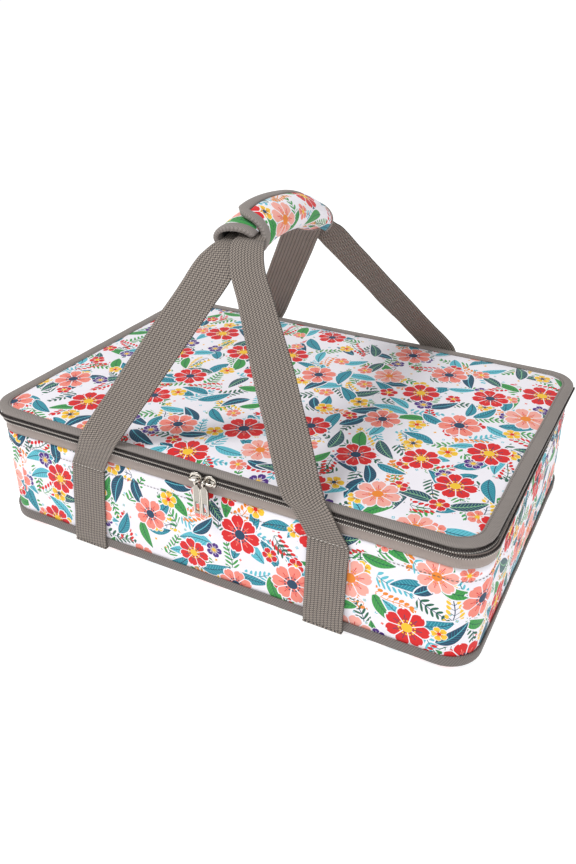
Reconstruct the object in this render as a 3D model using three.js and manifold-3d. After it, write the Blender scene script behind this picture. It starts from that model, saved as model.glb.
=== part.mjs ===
// Insulated casserole carrier: a printed, padded tub with a zipped lid,
// two webbing loops that run under the base, and a padded handle wrap.
// Millimetres, +Z up, origin at the middle of the footprint, front towards -Y.

import * as THREE from "three";
import { mergeVertices } from "three/addons/utils/BufferGeometryUtils.js";
import Module from "manifold-3d";

const wasm = await Module();
wasm.setup();

// Body of the bag
const bodyLength = 420;
const bodyWidth = 285;
const cornerRadius = 24;
const wallBulge = 2.4;
const fabricThickness = 0.8;
const foamThickness = 6;
const liningThickness = 0.6;
const boardThickness = 2;
const boardInset = 4;
const clearance = 0.3;

// Heights above the table
const webbingThickness = 1.8;
const wallTopHeight = 88;
const zipBandHeight = 18;
const paddingGap = 5;

// Bindings and zip
const baseBindingHeight = 9;
const baseBindingThickness = 1.5;
const lidBindingThickness = 1.6;
const lidBindingWidth = 6;
const lidBindingDrop = 2.4;
const rimOverhang = 1.8;
const coilHeight = 2.8;
const coilThickness = 1.6;
const coilGap = 0.8;
const tapeThickness = 0.8;
const zipBackSetback = 12;

// Webbing
const webbingWidth = 32;
const leftStrapX = -116;
const leftStrapLean = 7.5;
const rightStrapX = 100;
const rightStrapLean = 2.5;
const stitchHeight = 78.5;
const gripWidth = 22;
const strapLift = 1.4;
const legSpread = 6;

// Handle wrap
const wrapFrontX = -7;
const wrapFrontY = -76;
const wrapBackX = -18;
const wrapBackY = 62;
const wrapFrontHeight = 257.5;
const wrapPeakY = -40;
const wrapPeakHeight = 261.5;
const wrapMiddleY = 6;
const wrapMiddleHeight = 257;
const wrapDropY = 34;
const wrapDropHeight = 250.5;
const wrapBackHeight = 238.5;
const wrapBoreWidth = 27.6;
const wrapBoreHeight = 12.8;
const wrapPadThickness = 1.2;
const flapPadThickness = 1;
const hookTapeThickness = 0.6;
const wrapBindingWidth = 7;
const backBindingWidth = 3;
const flapSlant = 37;

// Zip sliders and pulls
const sliderLength = 10.4;
const sliderHeight = 9.6;
const sliderPlate = 1.2;
const sliderRim = 1.3;
const sliderSpacing = 12.2;
const sliderMiddleX = 2.2;
const bridgeBar = 1.2;
const bridgeLength = 10;
const eyeOuterRadius = 3.1;
const eyeInnerRadius = 1.8;
const eyeWidth = 1.5;
const pullLength = 25.5;
const pullWidth = 6.4;
const pullThickness = 1.3;
const pullSlotLength = 8;
const pullSlotWidth = 3.2;
const pullSlotInset = 2.2;

// Curve fineness
const cornerSteps = 4;
const longSideSteps = 6;
const shortSideSteps = 4;
const bandSteps = 4;
const strapSteps = 18;
const gripSteps = 10;
const wrapSteps = 7;
const wrapAngleSteps = 12;
const tapeAngleSteps = 3;
const eyeSteps = 20;

// Levels that follow from the sizes above
const baseBottom = webbingThickness + clearance;
const panelTop = baseBottom + fabricThickness;
const boardBottom = panelTop + clearance;
const boardTop = boardBottom + boardThickness;
const baseFoamBottom = boardTop + clearance;
const baseFoamTop = baseFoamBottom + foamThickness;
const floorBottom = baseFoamTop + clearance;
const floorTop = floorBottom + liningThickness;
const lidTopHeight = wallTopHeight + zipBandHeight;
const lidPanelBottom = lidTopHeight - fabricThickness;
const lidFoamTop = lidPanelBottom - clearance;
const lidFoamBottom = lidFoamTop - foamThickness;
const lidLiningTop = lidFoamBottom - clearance;
const lidLiningBottom = lidLiningTop - liningThickness;
const foamTopHeight = lidLiningBottom - paddingGap;
const bindingTopBottom = lidTopHeight + clearance;
const bindingTop = bindingTopBottom + lidBindingThickness;
const rimBottom = bindingTopBottom - lidBindingDrop;
const upperCoilTop = rimBottom - clearance;
const upperCoilBottom = upperCoilTop - coilHeight;
const lowerCoilTop = upperCoilBottom - coilGap;
const lowerCoilBottom = lowerCoilTop - coilHeight;

// Offsets outward from the body's outline
const foamOuter = -fabricThickness - clearance;
const foamInner = foamOuter - foamThickness;
const liningOuter = foamInner - clearance;
const liningInner = liningOuter - liningThickness;
const coilInner = tapeThickness + clearance;
const coilOuter = coilInner + coilThickness;
const bindingInner = clearance;
const bindingOuter = bindingInner + baseBindingThickness;
const rimOuter = clearance + rimOverhang;

const fabric = (color) => new THREE.MeshStandardMaterial({ color, roughness: 0.9, metalness: 0 });
const materials = {
  print: fabric(0xf1eef3),
  twill: fabric(0x8f877d),
  webbing: fabric(0x978d80),
  tape: fabric(0xbcb2aa),
  coil: fabric(0x463c3a),
  lining: fabric(0xd3d5d6),
  foam: fabric(0xf4f3ee),
  board: fabric(0x5c5a55),
  hook: fabric(0x1b1b1c),
  nickel: new THREE.MeshStandardMaterial({ color: 0xc9cacc, roughness: 0.25, metalness: 1 }),
};

const group = new THREE.Group();

function add(name, geometry, material) {
  const mesh = new THREE.Mesh(geometry, material);
  mesh.name = name;
  group.add(mesh);
  return mesh;
}

const spread = (from, to, steps) =>
  [...Array(steps + 1).keys()].map((i) => THREE.MathUtils.lerp(from, to, i / steps));

// Section rings become one solid: rings[i][j] is point j of ring i. An open run is capped,
// and there a section goes out along one row of points and back along another.
function skinRings(rings, closed) {
  const count = rings[0].length;
  const positions = rings.flat().flatMap((p) => [p.x, p.y, p.z]);
  const faces = [];
  const last = closed ? rings.length : rings.length - 1;
  for (let i = 0; i < last; i += 1) {
    const next = (i + 1) % rings.length;
    for (let j = 0; j < count; j += 1) {
      const k = (j + 1) % count;
      const a = i * count + j;
      const b = next * count + j;
      const c = next * count + k;
      const d = i * count + k;
      faces.push(a, b, c, a, c, d);
    }
  }
  if (!closed) {
    const end = (rings.length - 1) * count;
    for (let j = 0; j < count / 2 - 1; j += 1) {
      const [a, b, c, d] = [j, j + 1, count - 2 - j, count - 1 - j];
      faces.push(a, b, c, a, c, d);
      faces.push(end + a, end + c, end + b, end + a, end + d, end + c);
    }
  }
  const geometry = new THREE.BufferGeometry();
  geometry.setAttribute("position", new THREE.Float32BufferAttribute(positions, 3));
  geometry.setIndex(facesPointOut(positions, faces) ? faces : turned(faces));
  geometry.computeVertexNormals();
  return geometry;
}

function facesPointOut(positions, faces) {
  let volume = 0;
  const corner = (i) => new THREE.Vector3(...positions.slice(3 * i, 3 * i + 3));
  for (let i = 0; i < faces.length; i += 3) {
    const [a, b, c] = [corner(faces[i]), corner(faces[i + 1]), corner(faces[i + 2])];
    volume += a.dot(b.cross(c));
  }
  return volume > 0;
}

function turned(faces) {
  const result = [];
  for (let i = 0; i < faces.length; i += 3) {
    result.push(faces[i], faces[i + 2], faces[i + 1]);
  }
  return result;
}

// Manifold solids, for the pieces that need a cut
function toSolid(geometry) {
  const bare = geometry.clone();
  bare.deleteAttribute("normal");
  bare.deleteAttribute("uv");
  const merged = mergeVertices(bare);
  return new wasm.Manifold(
    new wasm.Mesh({
      numProp: 3,
      vertProperties: Float32Array.from(merged.attributes.position.array),
      triVerts: Uint32Array.from(merged.index.array),
    }),
  );
}

function toGeometry(solid) {
  const mesh = solid.getMesh();
  const geometry = new THREE.BufferGeometry();
  const positions = Float32Array.from(mesh.vertProperties);
  geometry.setAttribute("position", new THREE.BufferAttribute(positions, 3));
  geometry.setIndex([...mesh.triVerts]);
  geometry.computeVertexNormals();
  return geometry;
}

const cut = (body, ...tools) =>
  toGeometry(tools.reduce((solid, tool) => solid.subtract(toSolid(tool)), toSolid(body)));

const join = (...pieces) =>
  toGeometry(pieces.map(toSolid).reduce((solid, piece) => solid.add(piece)));

// The bag's outline as stations: a point, the way out of the wall, and how far along its side.
function outlineStations() {
  const stations = [];
  const halfX = bodyLength / 2 - cornerRadius;
  const halfY = bodyWidth / 2 - cornerRadius;
  const corners = [
    { x: halfX, y: halfY, from: 0, steps: longSideSteps },
    { x: -halfX, y: halfY, from: 1, steps: shortSideSteps },
    { x: -halfX, y: -halfY, from: 2, steps: longSideSteps },
    { x: halfX, y: -halfY, from: 3, steps: shortSideSteps },
  ];
  corners.forEach((corner, index) => {
    for (let i = 0; i <= cornerSteps; i += 1) {
      const angle = ((corner.from + i / cornerSteps) * Math.PI) / 2;
      const out = new THREE.Vector2(Math.cos(angle), Math.sin(angle));
      stations.push({
        x: corner.x + cornerRadius * out.x,
        y: corner.y + cornerRadius * out.y,
        out,
        swell: 0,
        corner: index,
      });
    }
    const next = corners[(index + 1) % corners.length];
    const angle = ((corner.from + 1) * Math.PI) / 2;
    const out = new THREE.Vector2(Math.cos(angle), Math.sin(angle));
    for (let i = 1; i < corner.steps; i += 1) {
      const t = i / corner.steps;
      stations.push({
        x: THREE.MathUtils.lerp(corner.x, next.x, t) + cornerRadius * out.x,
        y: THREE.MathUtils.lerp(corner.y, next.y, t) + cornerRadius * out.y,
        out,
        swell: Math.sin(Math.PI * t) ** 0.7,
      });
    }
  });
  return stations;
}

const stations = outlineStations();

// How far a wall stands proud of the outline at a height
function bulgeAt(height, swell) {
  const share = THREE.MathUtils.clamp((height - baseBottom) / (wallTopHeight - baseBottom), 0, 1);
  return wallBulge * swell * Math.sin(Math.PI * share);
}

const stationPoint = (station, offset, height) =>
  new THREE.Vector3(
    station.x + station.out.x * offset,
    station.y + station.out.y * offset,
    height,
  );

// A strip that follows the outline. The section is a list of [offset, height].
function outlineStrip(route, section, closed, follow = false) {
  const rings = route.map((station) =>
    section.map(([offset, height]) =>
      stationPoint(station, offset + (follow ? bulgeAt(height, station.swell) : 0), height),
    ),
  );
  return skinRings(rings, closed);
}

const rectangle = (inner, outer, low, high) => [
  [inner, low],
  [outer, low],
  [outer, high],
  [inner, high],
];

function slab(offset, low, high) {
  const shape = new THREE.Shape(
    stations.map((s) => new THREE.Vector2(s.x + s.out.x * offset, s.y + s.out.y * offset)),
  );
  const geometry = new THREE.ExtrudeGeometry(shape, { depth: high - low, bevelEnabled: false });
  return geometry.translate(0, 0, low);
}

function box(lowX, highX, lowY, highY, lowZ, highZ) {
  const geometry = new THREE.BoxGeometry(highX - lowX, highY - lowY, highZ - lowZ);
  return geometry.translate((lowX + highX) / 2, (lowY + highY) / 2, (lowZ + highZ) / 2);
}

// Base: outer panel, stiffener and padding
add("base_panel", slab(0, baseBottom, panelTop), materials.print);
add("base_board", slab(foamInner - clearance - boardInset, boardBottom, boardTop), materials.board);
add("base_foam", slab(foamInner - clearance, baseFoamBottom, baseFoamTop), materials.foam);

// Walls: one printed band outside, four foam pieces inside
const baseBindingTop = baseBottom + baseBindingHeight;
const bandLevels = [panelTop + clearance, ...spread(baseBindingTop, wallTopHeight, bandSteps)];
const bandSection = [
  ...bandLevels.map((height) => [0, height]),
  ...bandLevels.toReversed().map((height) => [-fabricThickness, height]),
];
add("side_band", outlineStrip(stations, bandSection, true, true), materials.print);

const wallStart = panelTop + clearance;
const straightX = bodyLength / 2 - cornerRadius - clearance;
const straightY = bodyWidth / 2 - cornerRadius - clearance;
const wallFoam = rectangle(foamInner, foamOuter, wallStart, foamTopHeight);

// The stations from one corner to the next, with both corner arcs
function wallRoute(firstCorner, secondCorner) {
  const start = stations.findIndex((s) => s.corner === firstCorner);
  const turnedList = [...stations.slice(start), ...stations.slice(0, start)];
  const end = turnedList.findLastIndex((s) => s.corner === secondCorner);
  return turnedList.slice(0, end + 1);
}

add("back_foam", outlineStrip(wallRoute(0, 1), wallFoam, false), materials.foam);
add("front_foam", outlineStrip(wallRoute(2, 3), wallFoam, false), materials.foam);
const foamFar = bodyLength / 2 + foamOuter;
const foamNear = bodyLength / 2 + foamInner;
add(
  "right_foam",
  box(foamNear, foamFar, -straightY, straightY, wallStart, foamTopHeight),
  materials.foam,
);
add(
  "left_foam",
  box(-foamFar, -foamNear, -straightY, straightY, wallStart, foamTopHeight),
  materials.foam,
);

const liningShell = slab(liningOuter, floorBottom, foamTopHeight);
const liningHollow = slab(liningInner, floorTop, foamTopHeight + foamThickness);
add("tub_lining", cut(liningShell, liningHollow), materials.lining);

const baseBinding = rectangle(bindingInner, bindingOuter, baseBottom, baseBindingTop);
add("bottom_binding", outlineStrip(stations, baseBinding, true, true), materials.twill);

// Zip: tapes and coils run along the front and both ends, into the back corners
const zipRoute = [...wallRoute(1, 3), ...wallRoute(3, 0)].filter(
  (s, index, all) => all.indexOf(s) === index && s.y < bodyWidth / 2 - zipBackSetback,
);
const tapeRow = (low, high) => outlineStrip(zipRoute, rectangle(0, tapeThickness, low, high), false);
const coilRow = (low, high) =>
  outlineStrip(zipRoute, rectangle(coilInner, coilOuter, low, high), false);
add("zip_tape_lower", tapeRow(wallTopHeight + clearance, lowerCoilTop), materials.tape);
add("zip_coil_lower", coilRow(lowerCoilBottom, lowerCoilTop), materials.coil);

// Hinge: the fabric strip that joins the back wall to the lid
const stepAlong = (s, distance) => ({
  ...s,
  x: s.x - s.out.y * distance,
  y: s.y + s.out.x * distance,
});
const hingeRoute = [
  stepAlong(zipRoute.at(-1), clearance),
  ...wallRoute(0, 1).filter((s) => !zipRoute.includes(s)),
  stepAlong(zipRoute[0], -clearance),
];
const hingeStrip = rectangle(0, fabricThickness, wallTopHeight + clearance, lidLiningBottom - clearance);
add("hinge_strip", outlineStrip(hingeRoute, hingeStrip, false), materials.tape);

// Lid: printed panel, padding, lining, binding and its half of the zip
add("lid_panel", slab(0, lidPanelBottom, lidTopHeight), materials.print);
add("lid_foam", slab(-clearance, lidFoamBottom, lidFoamTop), materials.foam);
add("lid_lining", slab(-clearance, lidLiningBottom, lidLiningTop), materials.lining);
const bindingSection = [
  [-lidBindingWidth, bindingTopBottom],
  [clearance, bindingTopBottom],
  [clearance, rimBottom],
  [rimOuter - lidBindingThickness / 2, rimBottom],
  [rimOuter, rimBottom + lidBindingThickness / 2],
  [rimOuter, bindingTop - lidBindingThickness / 2],
  [rimOuter - lidBindingThickness / 2, bindingTop],
  [-lidBindingWidth, bindingTop],
];
add("top_binding", outlineStrip(stations, bindingSection, true), materials.twill);
add("zip_tape_upper", tapeRow(upperCoilBottom, upperCoilTop), materials.twill);
add("zip_coil_upper", coilRow(upperCoilBottom, upperCoilTop), materials.coil);

// A flat strap along a route. Its face always looks along the YZ plane, as folded webbing lies.
// squareAt() is 1 where its end is cut level, as at a cross stitch, and 0 where it runs free.
function ribbon(points, tangents, widthAt, thickness, squareAt = () => 0) {
  const level = new THREE.Vector3(1, 0, 0);
  const rings = points.map((point, index) => {
    const along = tangents[index];
    const face = new THREE.Vector3(0, along.z, -along.y).normalize();
    const share = index / (points.length - 1);
    const across = new THREE.Vector3().crossVectors(face, along);
    across.multiplyScalar(Math.sign(across.x)).normalize();
    across.lerp(level, squareAt(share)).normalize();
    const half = widthAt(share) / 2;
    const corner = (side, lift) =>
      point
        .clone()
        .addScaledVector(across, side * half)
        .addScaledVector(face, (lift * thickness) / 2);
    return [corner(-1, -1), corner(1, -1), corner(1, 1), corner(-1, 1)];
  });
  return skinRings(rings, false);
}

function straightTangents(points) {
  return points.map((point, index) => {
    const before = points[Math.max(index - 1, 0)];
    const after = points[Math.min(index + 1, points.length - 1)];
    return after.clone().sub(before).normalize();
  });
}

// How far the wall swells where a strap is sewn
const strapSwell = (x) => Math.sin((Math.PI * (x + straightX)) / (2 * straightX)) ** 0.7;

// The sewn run up one wall, from the base to the cross stitch, where it has leant by lean
function sewnStrap(x, side, lean) {
  const footOffset = bindingOuter + clearance + webbingThickness / 2;
  const wallOffset = clearance + webbingThickness / 2;
  const place = (offset, height) =>
    new THREE.Vector3(
      x + (lean * height) / stitchHeight,
      side * (bodyWidth / 2 + offset + bulgeAt(height, strapSwell(x))),
      height,
    );
  const levels = [0.25, 0.5, 0.75, 1].map((share) =>
    THREE.MathUtils.lerp(baseBindingTop + webbingThickness, stitchHeight, share),
  );
  const points = [
    place(footOffset, webbingThickness + clearance),
    place(footOffset, baseBindingTop + webbingThickness),
    ...levels.map((height, index) =>
      place(index === 0 ? (footOffset + wallOffset) / 2 : wallOffset, height),
    ),
  ];
  const wide = () => webbingWidth;
  return ribbon(points, straightTangents(points), wide, webbingThickness, () => 1);
}

function underStrap(x) {
  const reach = bodyWidth / 2 + bindingOuter + clearance + webbingThickness;
  return box(
    x - webbingWidth / 2,
    x + webbingWidth / 2,
    -reach,
    reach,
    0,
    webbingThickness,
  );
}

// The axis of the handle wrap, from its front cuff to its back cuff
const wrapMiddles = [
  [wrapFrontY, wrapFrontHeight],
  [wrapPeakY, wrapPeakHeight],
  [wrapMiddleY, wrapMiddleHeight],
  [wrapDropY, wrapDropHeight],
  [wrapBackY, wrapBackHeight],
];
const wrapAxis = new THREE.CatmullRomCurve3(
  wrapMiddles.map(([y, height]) => {
    const x = THREE.MathUtils.mapLinear(y, wrapFrontY, wrapBackY, wrapFrontX, wrapBackX);
    return new THREE.Vector3(x, y, height);
  }),
);

// A free leg, from the stitch over the rim and up to a cuff
const cuffReach = 15;
const cuffDrop = 13;
const mouthShare = 0.36;
const rimStandoff = rimOuter + 2 * clearance + webbingThickness;

function legPoints(x, side, lift) {
  const cuff = side < 0 ? wrapAxis.getPoint(0) : wrapAxis.getPoint(1);
  const cuffX = cuff.x + Math.sign(x) * legSpread;
  const lean = (height) => ((cuffX - x) * (height - stitchHeight)) / (cuff.z - stitchHeight);
  const wall = (offset, height) =>
    new THREE.Vector3(x + lean(height), side * (bodyWidth / 2 + offset), height);
  const stitched = 2 * clearance + webbingThickness / 2 + bulgeAt(stitchHeight, 1);
  const start = wall(stitched, stitchHeight + clearance);
  const bow = wall((stitched + rimStandoff) / 2, (stitchHeight + rimBottom) / 2);
  const underRim = wall(rimStandoff, rimBottom - webbingThickness);
  const rim = wall(rimStandoff, bindingTop + webbingThickness);
  const approach = new THREE.Vector3(cuffX, cuff.y + side * cuffReach, cuff.z - cuffDrop);
  const run = approach.clone().sub(rim).normalize();
  const face = new THREE.Vector3(0, run.z, -run.y).normalize();
  approach.addScaledVector(face, side * lift);
  const middles = [0.3, 0.6, 0.85].map((share) => rim.clone().lerp(approach, share));
  const mouth = new THREE.Vector3(
    THREE.MathUtils.lerp(cuff.x, cuffX, mouthShare ** 2),
    cuff.y + side * cuffReach * mouthShare,
    cuff.z - cuffDrop * mouthShare ** 2,
  );
  const mouthSlope = (2 * cuffDrop * mouthShare) / cuffReach;
  mouth.addScaledVector(new THREE.Vector3(0, side * mouthSlope, 1).normalize(), lift);
  return [start, bow, underRim, rim, ...middles, approach, mouth];
}

function loopCurve(x, lean, lift) {
  const front = legPoints(x + lean, -1, lift);
  const back = legPoints(x, 1, lift);
  const inside = [0.03, 0.14, 0.3, 0.5, 0.7, 0.86, 0.97].map((share) => {
    const point = wrapAxis.getPointAt(share);
    point.z += lift;
    return point;
  });
  return new THREE.CatmullRomCurve3([...front, ...inside, ...back.toReversed()], false, "centripetal");
}

// One loop is one length of webbing: two legs and the grip between them
function addLoop(name, x, lean, lift) {
  const curve = loopCurve(x, lean, lift);
  const samples = 400;
  const spaced = curve.getSpacedPoints(samples);
  const frontCuff = spaced.findIndex((p) => p.y > wrapFrontY) / samples;
  const backCuff = spaced.findLastIndex((p) => p.y < wrapBackY) / samples;
  const trim = clearance / 2 / curve.getLength();
  const stretch = (from, to, steps, widthAt, squareAt) => {
    const shares = spread(from, to, steps);
    const points = shares.map((share) => curve.getPointAt(share));
    const tangents = shares.map((share) => curve.getTangentAt(share));
    return ribbon(points, tangents, widthAt, webbingThickness, squareAt);
  };
  const tuck = THREE.MathUtils.smoothstep;
  const legWidth = (share) => THREE.MathUtils.lerp(webbingWidth, gripWidth, tuck(share, 0.8, 1));
  const legSquare = (share) => 1 - tuck(share, 0.05, 0.28) + tuck(share, 0.85, 0.96);
  add(
    `${name}_front_leg`,
    stretch(0, frontCuff - trim, strapSteps, legWidth, legSquare),
    materials.webbing,
  );
  add(
    `${name}_grip`,
    stretch(frontCuff + trim, backCuff - trim, gripSteps, () => gripWidth, () => 1),
    materials.webbing,
  );
  add(
    `${name}_back_leg`,
    stretch(
      backCuff + trim,
      1,
      strapSteps,
      (share) => legWidth(1 - share),
      (share) => legSquare(1 - share),
    ),
    materials.webbing,
  );
}

const straps = [
  { name: "left", x: leftStrapX, lean: leftStrapLean, lift: -strapLift },
  { name: "right", x: rightStrapX, lean: rightStrapLean, lift: strapLift },
];
for (const strap of straps) {
  add(`${strap.name}_base_strap`, underStrap(strap.x), materials.webbing);
  add(`${strap.name}_front_sewn_strap`, sewnStrap(strap.x, -1, strap.lean), materials.webbing);
  add(`${strap.name}_back_sewn_strap`, sewnStrap(strap.x, 1, 0), materials.webbing);
  addLoop(`${strap.name}_loop`, strap.x, strap.lean, strap.lift);
}

// A point of the wrap: a share of its length, a depth outside its bore, and an angle
// in degrees from +X towards +Z
function wrapPoint(share, depth, angle) {
  const along = wrapAxis.getTangentAt(share);
  const side = new THREE.Vector3(along.y, -along.x, 0).normalize();
  const up = new THREE.Vector3().crossVectors(side, along);
  const turn = THREE.MathUtils.degToRad(angle);
  return wrapAxis
    .getPointAt(share)
    .addScaledVector(side, (wrapBoreWidth / 2 + depth) * Math.cos(turn))
    .addScaledVector(up, (wrapBoreHeight / 2 + depth) * Math.sin(turn));
}

// A bent sheet between two depths. It has the cells of the grid that keep() leaves.
function bentGrid(inner, outer, shares, angles, { keep = () => true, point = wrapPoint } = {}) {
  const corners = [];
  const quad = (...points) => {
    const [a, b, c, d] = points.map(([i, j, depth]) => point(shares[i], depth, angles[j]));
    corners.push(a, b, c, a, c, d);
  };
  const kept = (i, j) =>
    i >= 0 && j >= 0 && i < shares.length - 1 && j < angles.length - 1 && keep(i, j);
  for (let i = 0; i < shares.length - 1; i += 1) {
    for (let j = 0; j < angles.length - 1; j += 1) {
      if (!kept(i, j)) continue;
      quad([i, j, outer], [i, j + 1, outer], [i + 1, j + 1, outer], [i + 1, j, outer]);
      quad([i, j, inner], [i + 1, j, inner], [i + 1, j + 1, inner], [i, j + 1, inner]);
      if (!kept(i - 1, j)) quad([i, j, inner], [i, j + 1, inner], [i, j + 1, outer], [i, j, outer]);
      if (!kept(i, j + 1)) {
        quad([i, j + 1, inner], [i + 1, j + 1, inner], [i + 1, j + 1, outer], [i, j + 1, outer]);
      }
      if (!kept(i + 1, j)) {
        quad([i + 1, j + 1, inner], [i + 1, j, inner], [i + 1, j, outer], [i + 1, j + 1, outer]);
      }
      if (!kept(i, j - 1)) quad([i + 1, j, inner], [i, j, inner], [i, j, outer], [i + 1, j, outer]);
    }
  }
  const positions = corners.flatMap((p) => [p.x, p.y, p.z]);
  const order = corners.map((_, index) => index);
  const geometry = new THREE.BufferGeometry();
  geometry.setAttribute("position", new THREE.Float32BufferAttribute(positions, 3));
  geometry.setIndex(facesPointOut(positions, order) ? order : turned(order));
  const merged = mergeVertices(geometry);
  merged.computeVertexNormals();
  return merged;
}

const wrapLength = wrapAxis.getLength();
const bindShare = wrapBindingWidth / wrapLength;
const backShare = 1 - backBindingWidth / wrapLength;
const gapShare = clearance / wrapLength;
const middleShares = spread(bindShare + gapShare, backShare - gapShare, wrapSteps);

// Wrap: lining, pad and cover round the grips, open along its right side
const wrapOpenAngle = 50;
const wrapEndAngle = 320;
const wrapPadInner = liningThickness + clearance;
const wrapCoverInner = wrapPadInner + wrapPadThickness + clearance;
const wrapCoverOuter = wrapCoverInner + fabricThickness;
const wrapAngles = spread(wrapOpenAngle, wrapEndAngle, wrapAngleSteps);
const wrapLayer = (inner, outer, shares) => bentGrid(inner, outer, shares, wrapAngles);
add("wrap_lining", wrapLayer(0, liningThickness, middleShares), materials.twill);
const wrapPadOuter = wrapPadInner + wrapPadThickness;
add("wrap_pad", wrapLayer(wrapPadInner, wrapPadOuter, middleShares), materials.foam);
add("wrap_cover", wrapLayer(wrapCoverInner, wrapCoverOuter, middleShares), materials.print);
add("wrap_front_binding", wrapLayer(0, wrapCoverOuter, [0, bindShare]), materials.twill);
add("wrap_back_binding", wrapLayer(0, wrapCoverOuter, [backShare, 1]), materials.twill);

// Flap: starts at the lower right, folds over the top and closes on hook and loop tape
const flapHingeAngle = -38;
const flapEndAngle = 150;
const tapeFromAngle = 98;
const tapeToAngle = 124;
const loopTapeInner = wrapCoverOuter + clearance;
const loopTapeOuter = loopTapeInner + hookTapeThickness;
const hookTapeInner = loopTapeOuter + clearance;
const hookTapeOuter = hookTapeInner + hookTapeThickness;
const tapeStart = (flapSlant + wrapBindingWidth) / wrapLength + gapShare;
const tapeShares = spread(tapeStart, backShare - gapShare, wrapSteps);
const flapLiningInner = hookTapeOuter + 1.5 * clearance;
const flapPadInner = flapLiningInner + liningThickness + clearance;
const flapCoverInner = flapPadInner + flapPadThickness + clearance;
const flapCoverOuter = flapCoverInner + fabricThickness;
const flapOuterWidth = wrapBoreWidth / 2 + flapCoverOuter;
const flapBindAngle = THREE.MathUtils.radToDeg(wrapBindingWidth / flapOuterWidth);
const flapGapAngle = THREE.MathUtils.radToDeg((2 * clearance) / (wrapBoreHeight / 2 + flapLiningInner));
const flapEdgeAngle = flapEndAngle - flapBindAngle;

// The flap's front edge slants back towards its free edge
const flapPoint = (share, depth, angle) => {
  const slant = THREE.MathUtils.mapLinear(angle, flapHingeAngle, flapEndAngle, 0, flapSlant);
  return wrapPoint(share + ((1 - share) * slant) / wrapLength, depth, angle);
};
const flapAngles = spread(flapHingeAngle, flapEdgeAngle - flapGapAngle, wrapAngleSteps);
const flapPanel = (inner, outer) =>
  bentGrid(inner, outer, middleShares, flapAngles, { point: flapPoint });
const tapeAngles = spread(tapeFromAngle, tapeToAngle, tapeAngleSteps);
const tapeSheet = (inner, outer) => bentGrid(inner, outer, tapeShares, tapeAngles);
add("loop_tape", tapeSheet(loopTapeInner, loopTapeOuter), materials.hook);
add("hook_tape", tapeSheet(hookTapeInner, hookTapeOuter), materials.hook);
add("flap_lining", flapPanel(flapLiningInner, flapLiningInner + liningThickness), materials.twill);
add("flap_pad", flapPanel(flapPadInner, flapPadInner + flapPadThickness), materials.foam);
add("flap_cover", flapPanel(flapCoverInner, flapCoverOuter), materials.print);

const edgeShares = [0, ...spread(bindShare, backShare, wrapSteps), 1];
const edgeAngles = [...spread(flapHingeAngle, flapEdgeAngle, wrapAngleSteps), flapEndAngle];
const onFlapEdge = (i, j) =>
  i === 0 || i === edgeShares.length - 2 || j === edgeAngles.length - 2;
add(
  "flap_binding",
  bentGrid(flapLiningInner, flapCoverOuter, edgeShares, edgeAngles, {
    keep: onFlapEdge,
    point: flapPoint,
  }),
  materials.twill,
);

// Sliders: a plate outside both coils with a rim under the lower one and a bridge for the pull
const plateInner = coilOuter + clearance;
const plateOuter = plateInner + sliderPlate;
const barOffset = plateOuter + clearance + eyeOuterRadius;
const frontAt = (offset) => -(bodyWidth / 2 + offset);
const rimTop = lowerCoilBottom - clearance;
const plateLow = rimTop - sliderRim;
const barHeight = plateLow + sliderHeight / 2;

function sliderBody(x) {
  const waistShare = 0.72;
  const outline = new THREE.Shape();
  const half = sliderLength / 2;
  const top = plateLow + sliderHeight;
  const waist = half * waistShare;
  outline.moveTo(-waist, plateLow);
  outline.lineTo(waist, plateLow);
  outline.quadraticCurveTo(half, plateLow, half, barHeight);
  outline.quadraticCurveTo(half, top, waist, top);
  outline.lineTo(-waist, top);
  outline.quadraticCurveTo(-half, top, -half, barHeight);
  outline.quadraticCurveTo(-half, plateLow, -waist, plateLow);
  const plate = new THREE.ExtrudeGeometry(outline, {
    depth: sliderPlate,
    bevelEnabled: false,
    curveSegments: 4,
  });
  plate.rotateX(Math.PI / 2);
  plate.translate(x, frontAt(plateInner), 0);
  const rim = box(
    x - waist,
    x + waist,
    frontAt(plateInner + sliderPlate / 2),
    frontAt(coilInner),
    plateLow,
    rimTop,
  );
  const barSide = bridgeBar / 2;
  const bar = box(
    x - bridgeLength / 2,
    x + bridgeLength / 2,
    frontAt(barOffset + barSide),
    frontAt(barOffset - barSide),
    barHeight - barSide,
    barHeight + barSide,
  );
  const feet = [-1, 1].map((side) => {
    const centre = x + side * (bridgeLength / 2 - barSide);
    return box(
      centre - barSide,
      centre + barSide,
      frontAt(barOffset),
      frontAt(plateOuter - sliderPlate / 2),
      barHeight - barSide,
      barHeight + barSide,
    );
  });
  return join(plate, rim, bar, ...feet);
}

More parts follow.
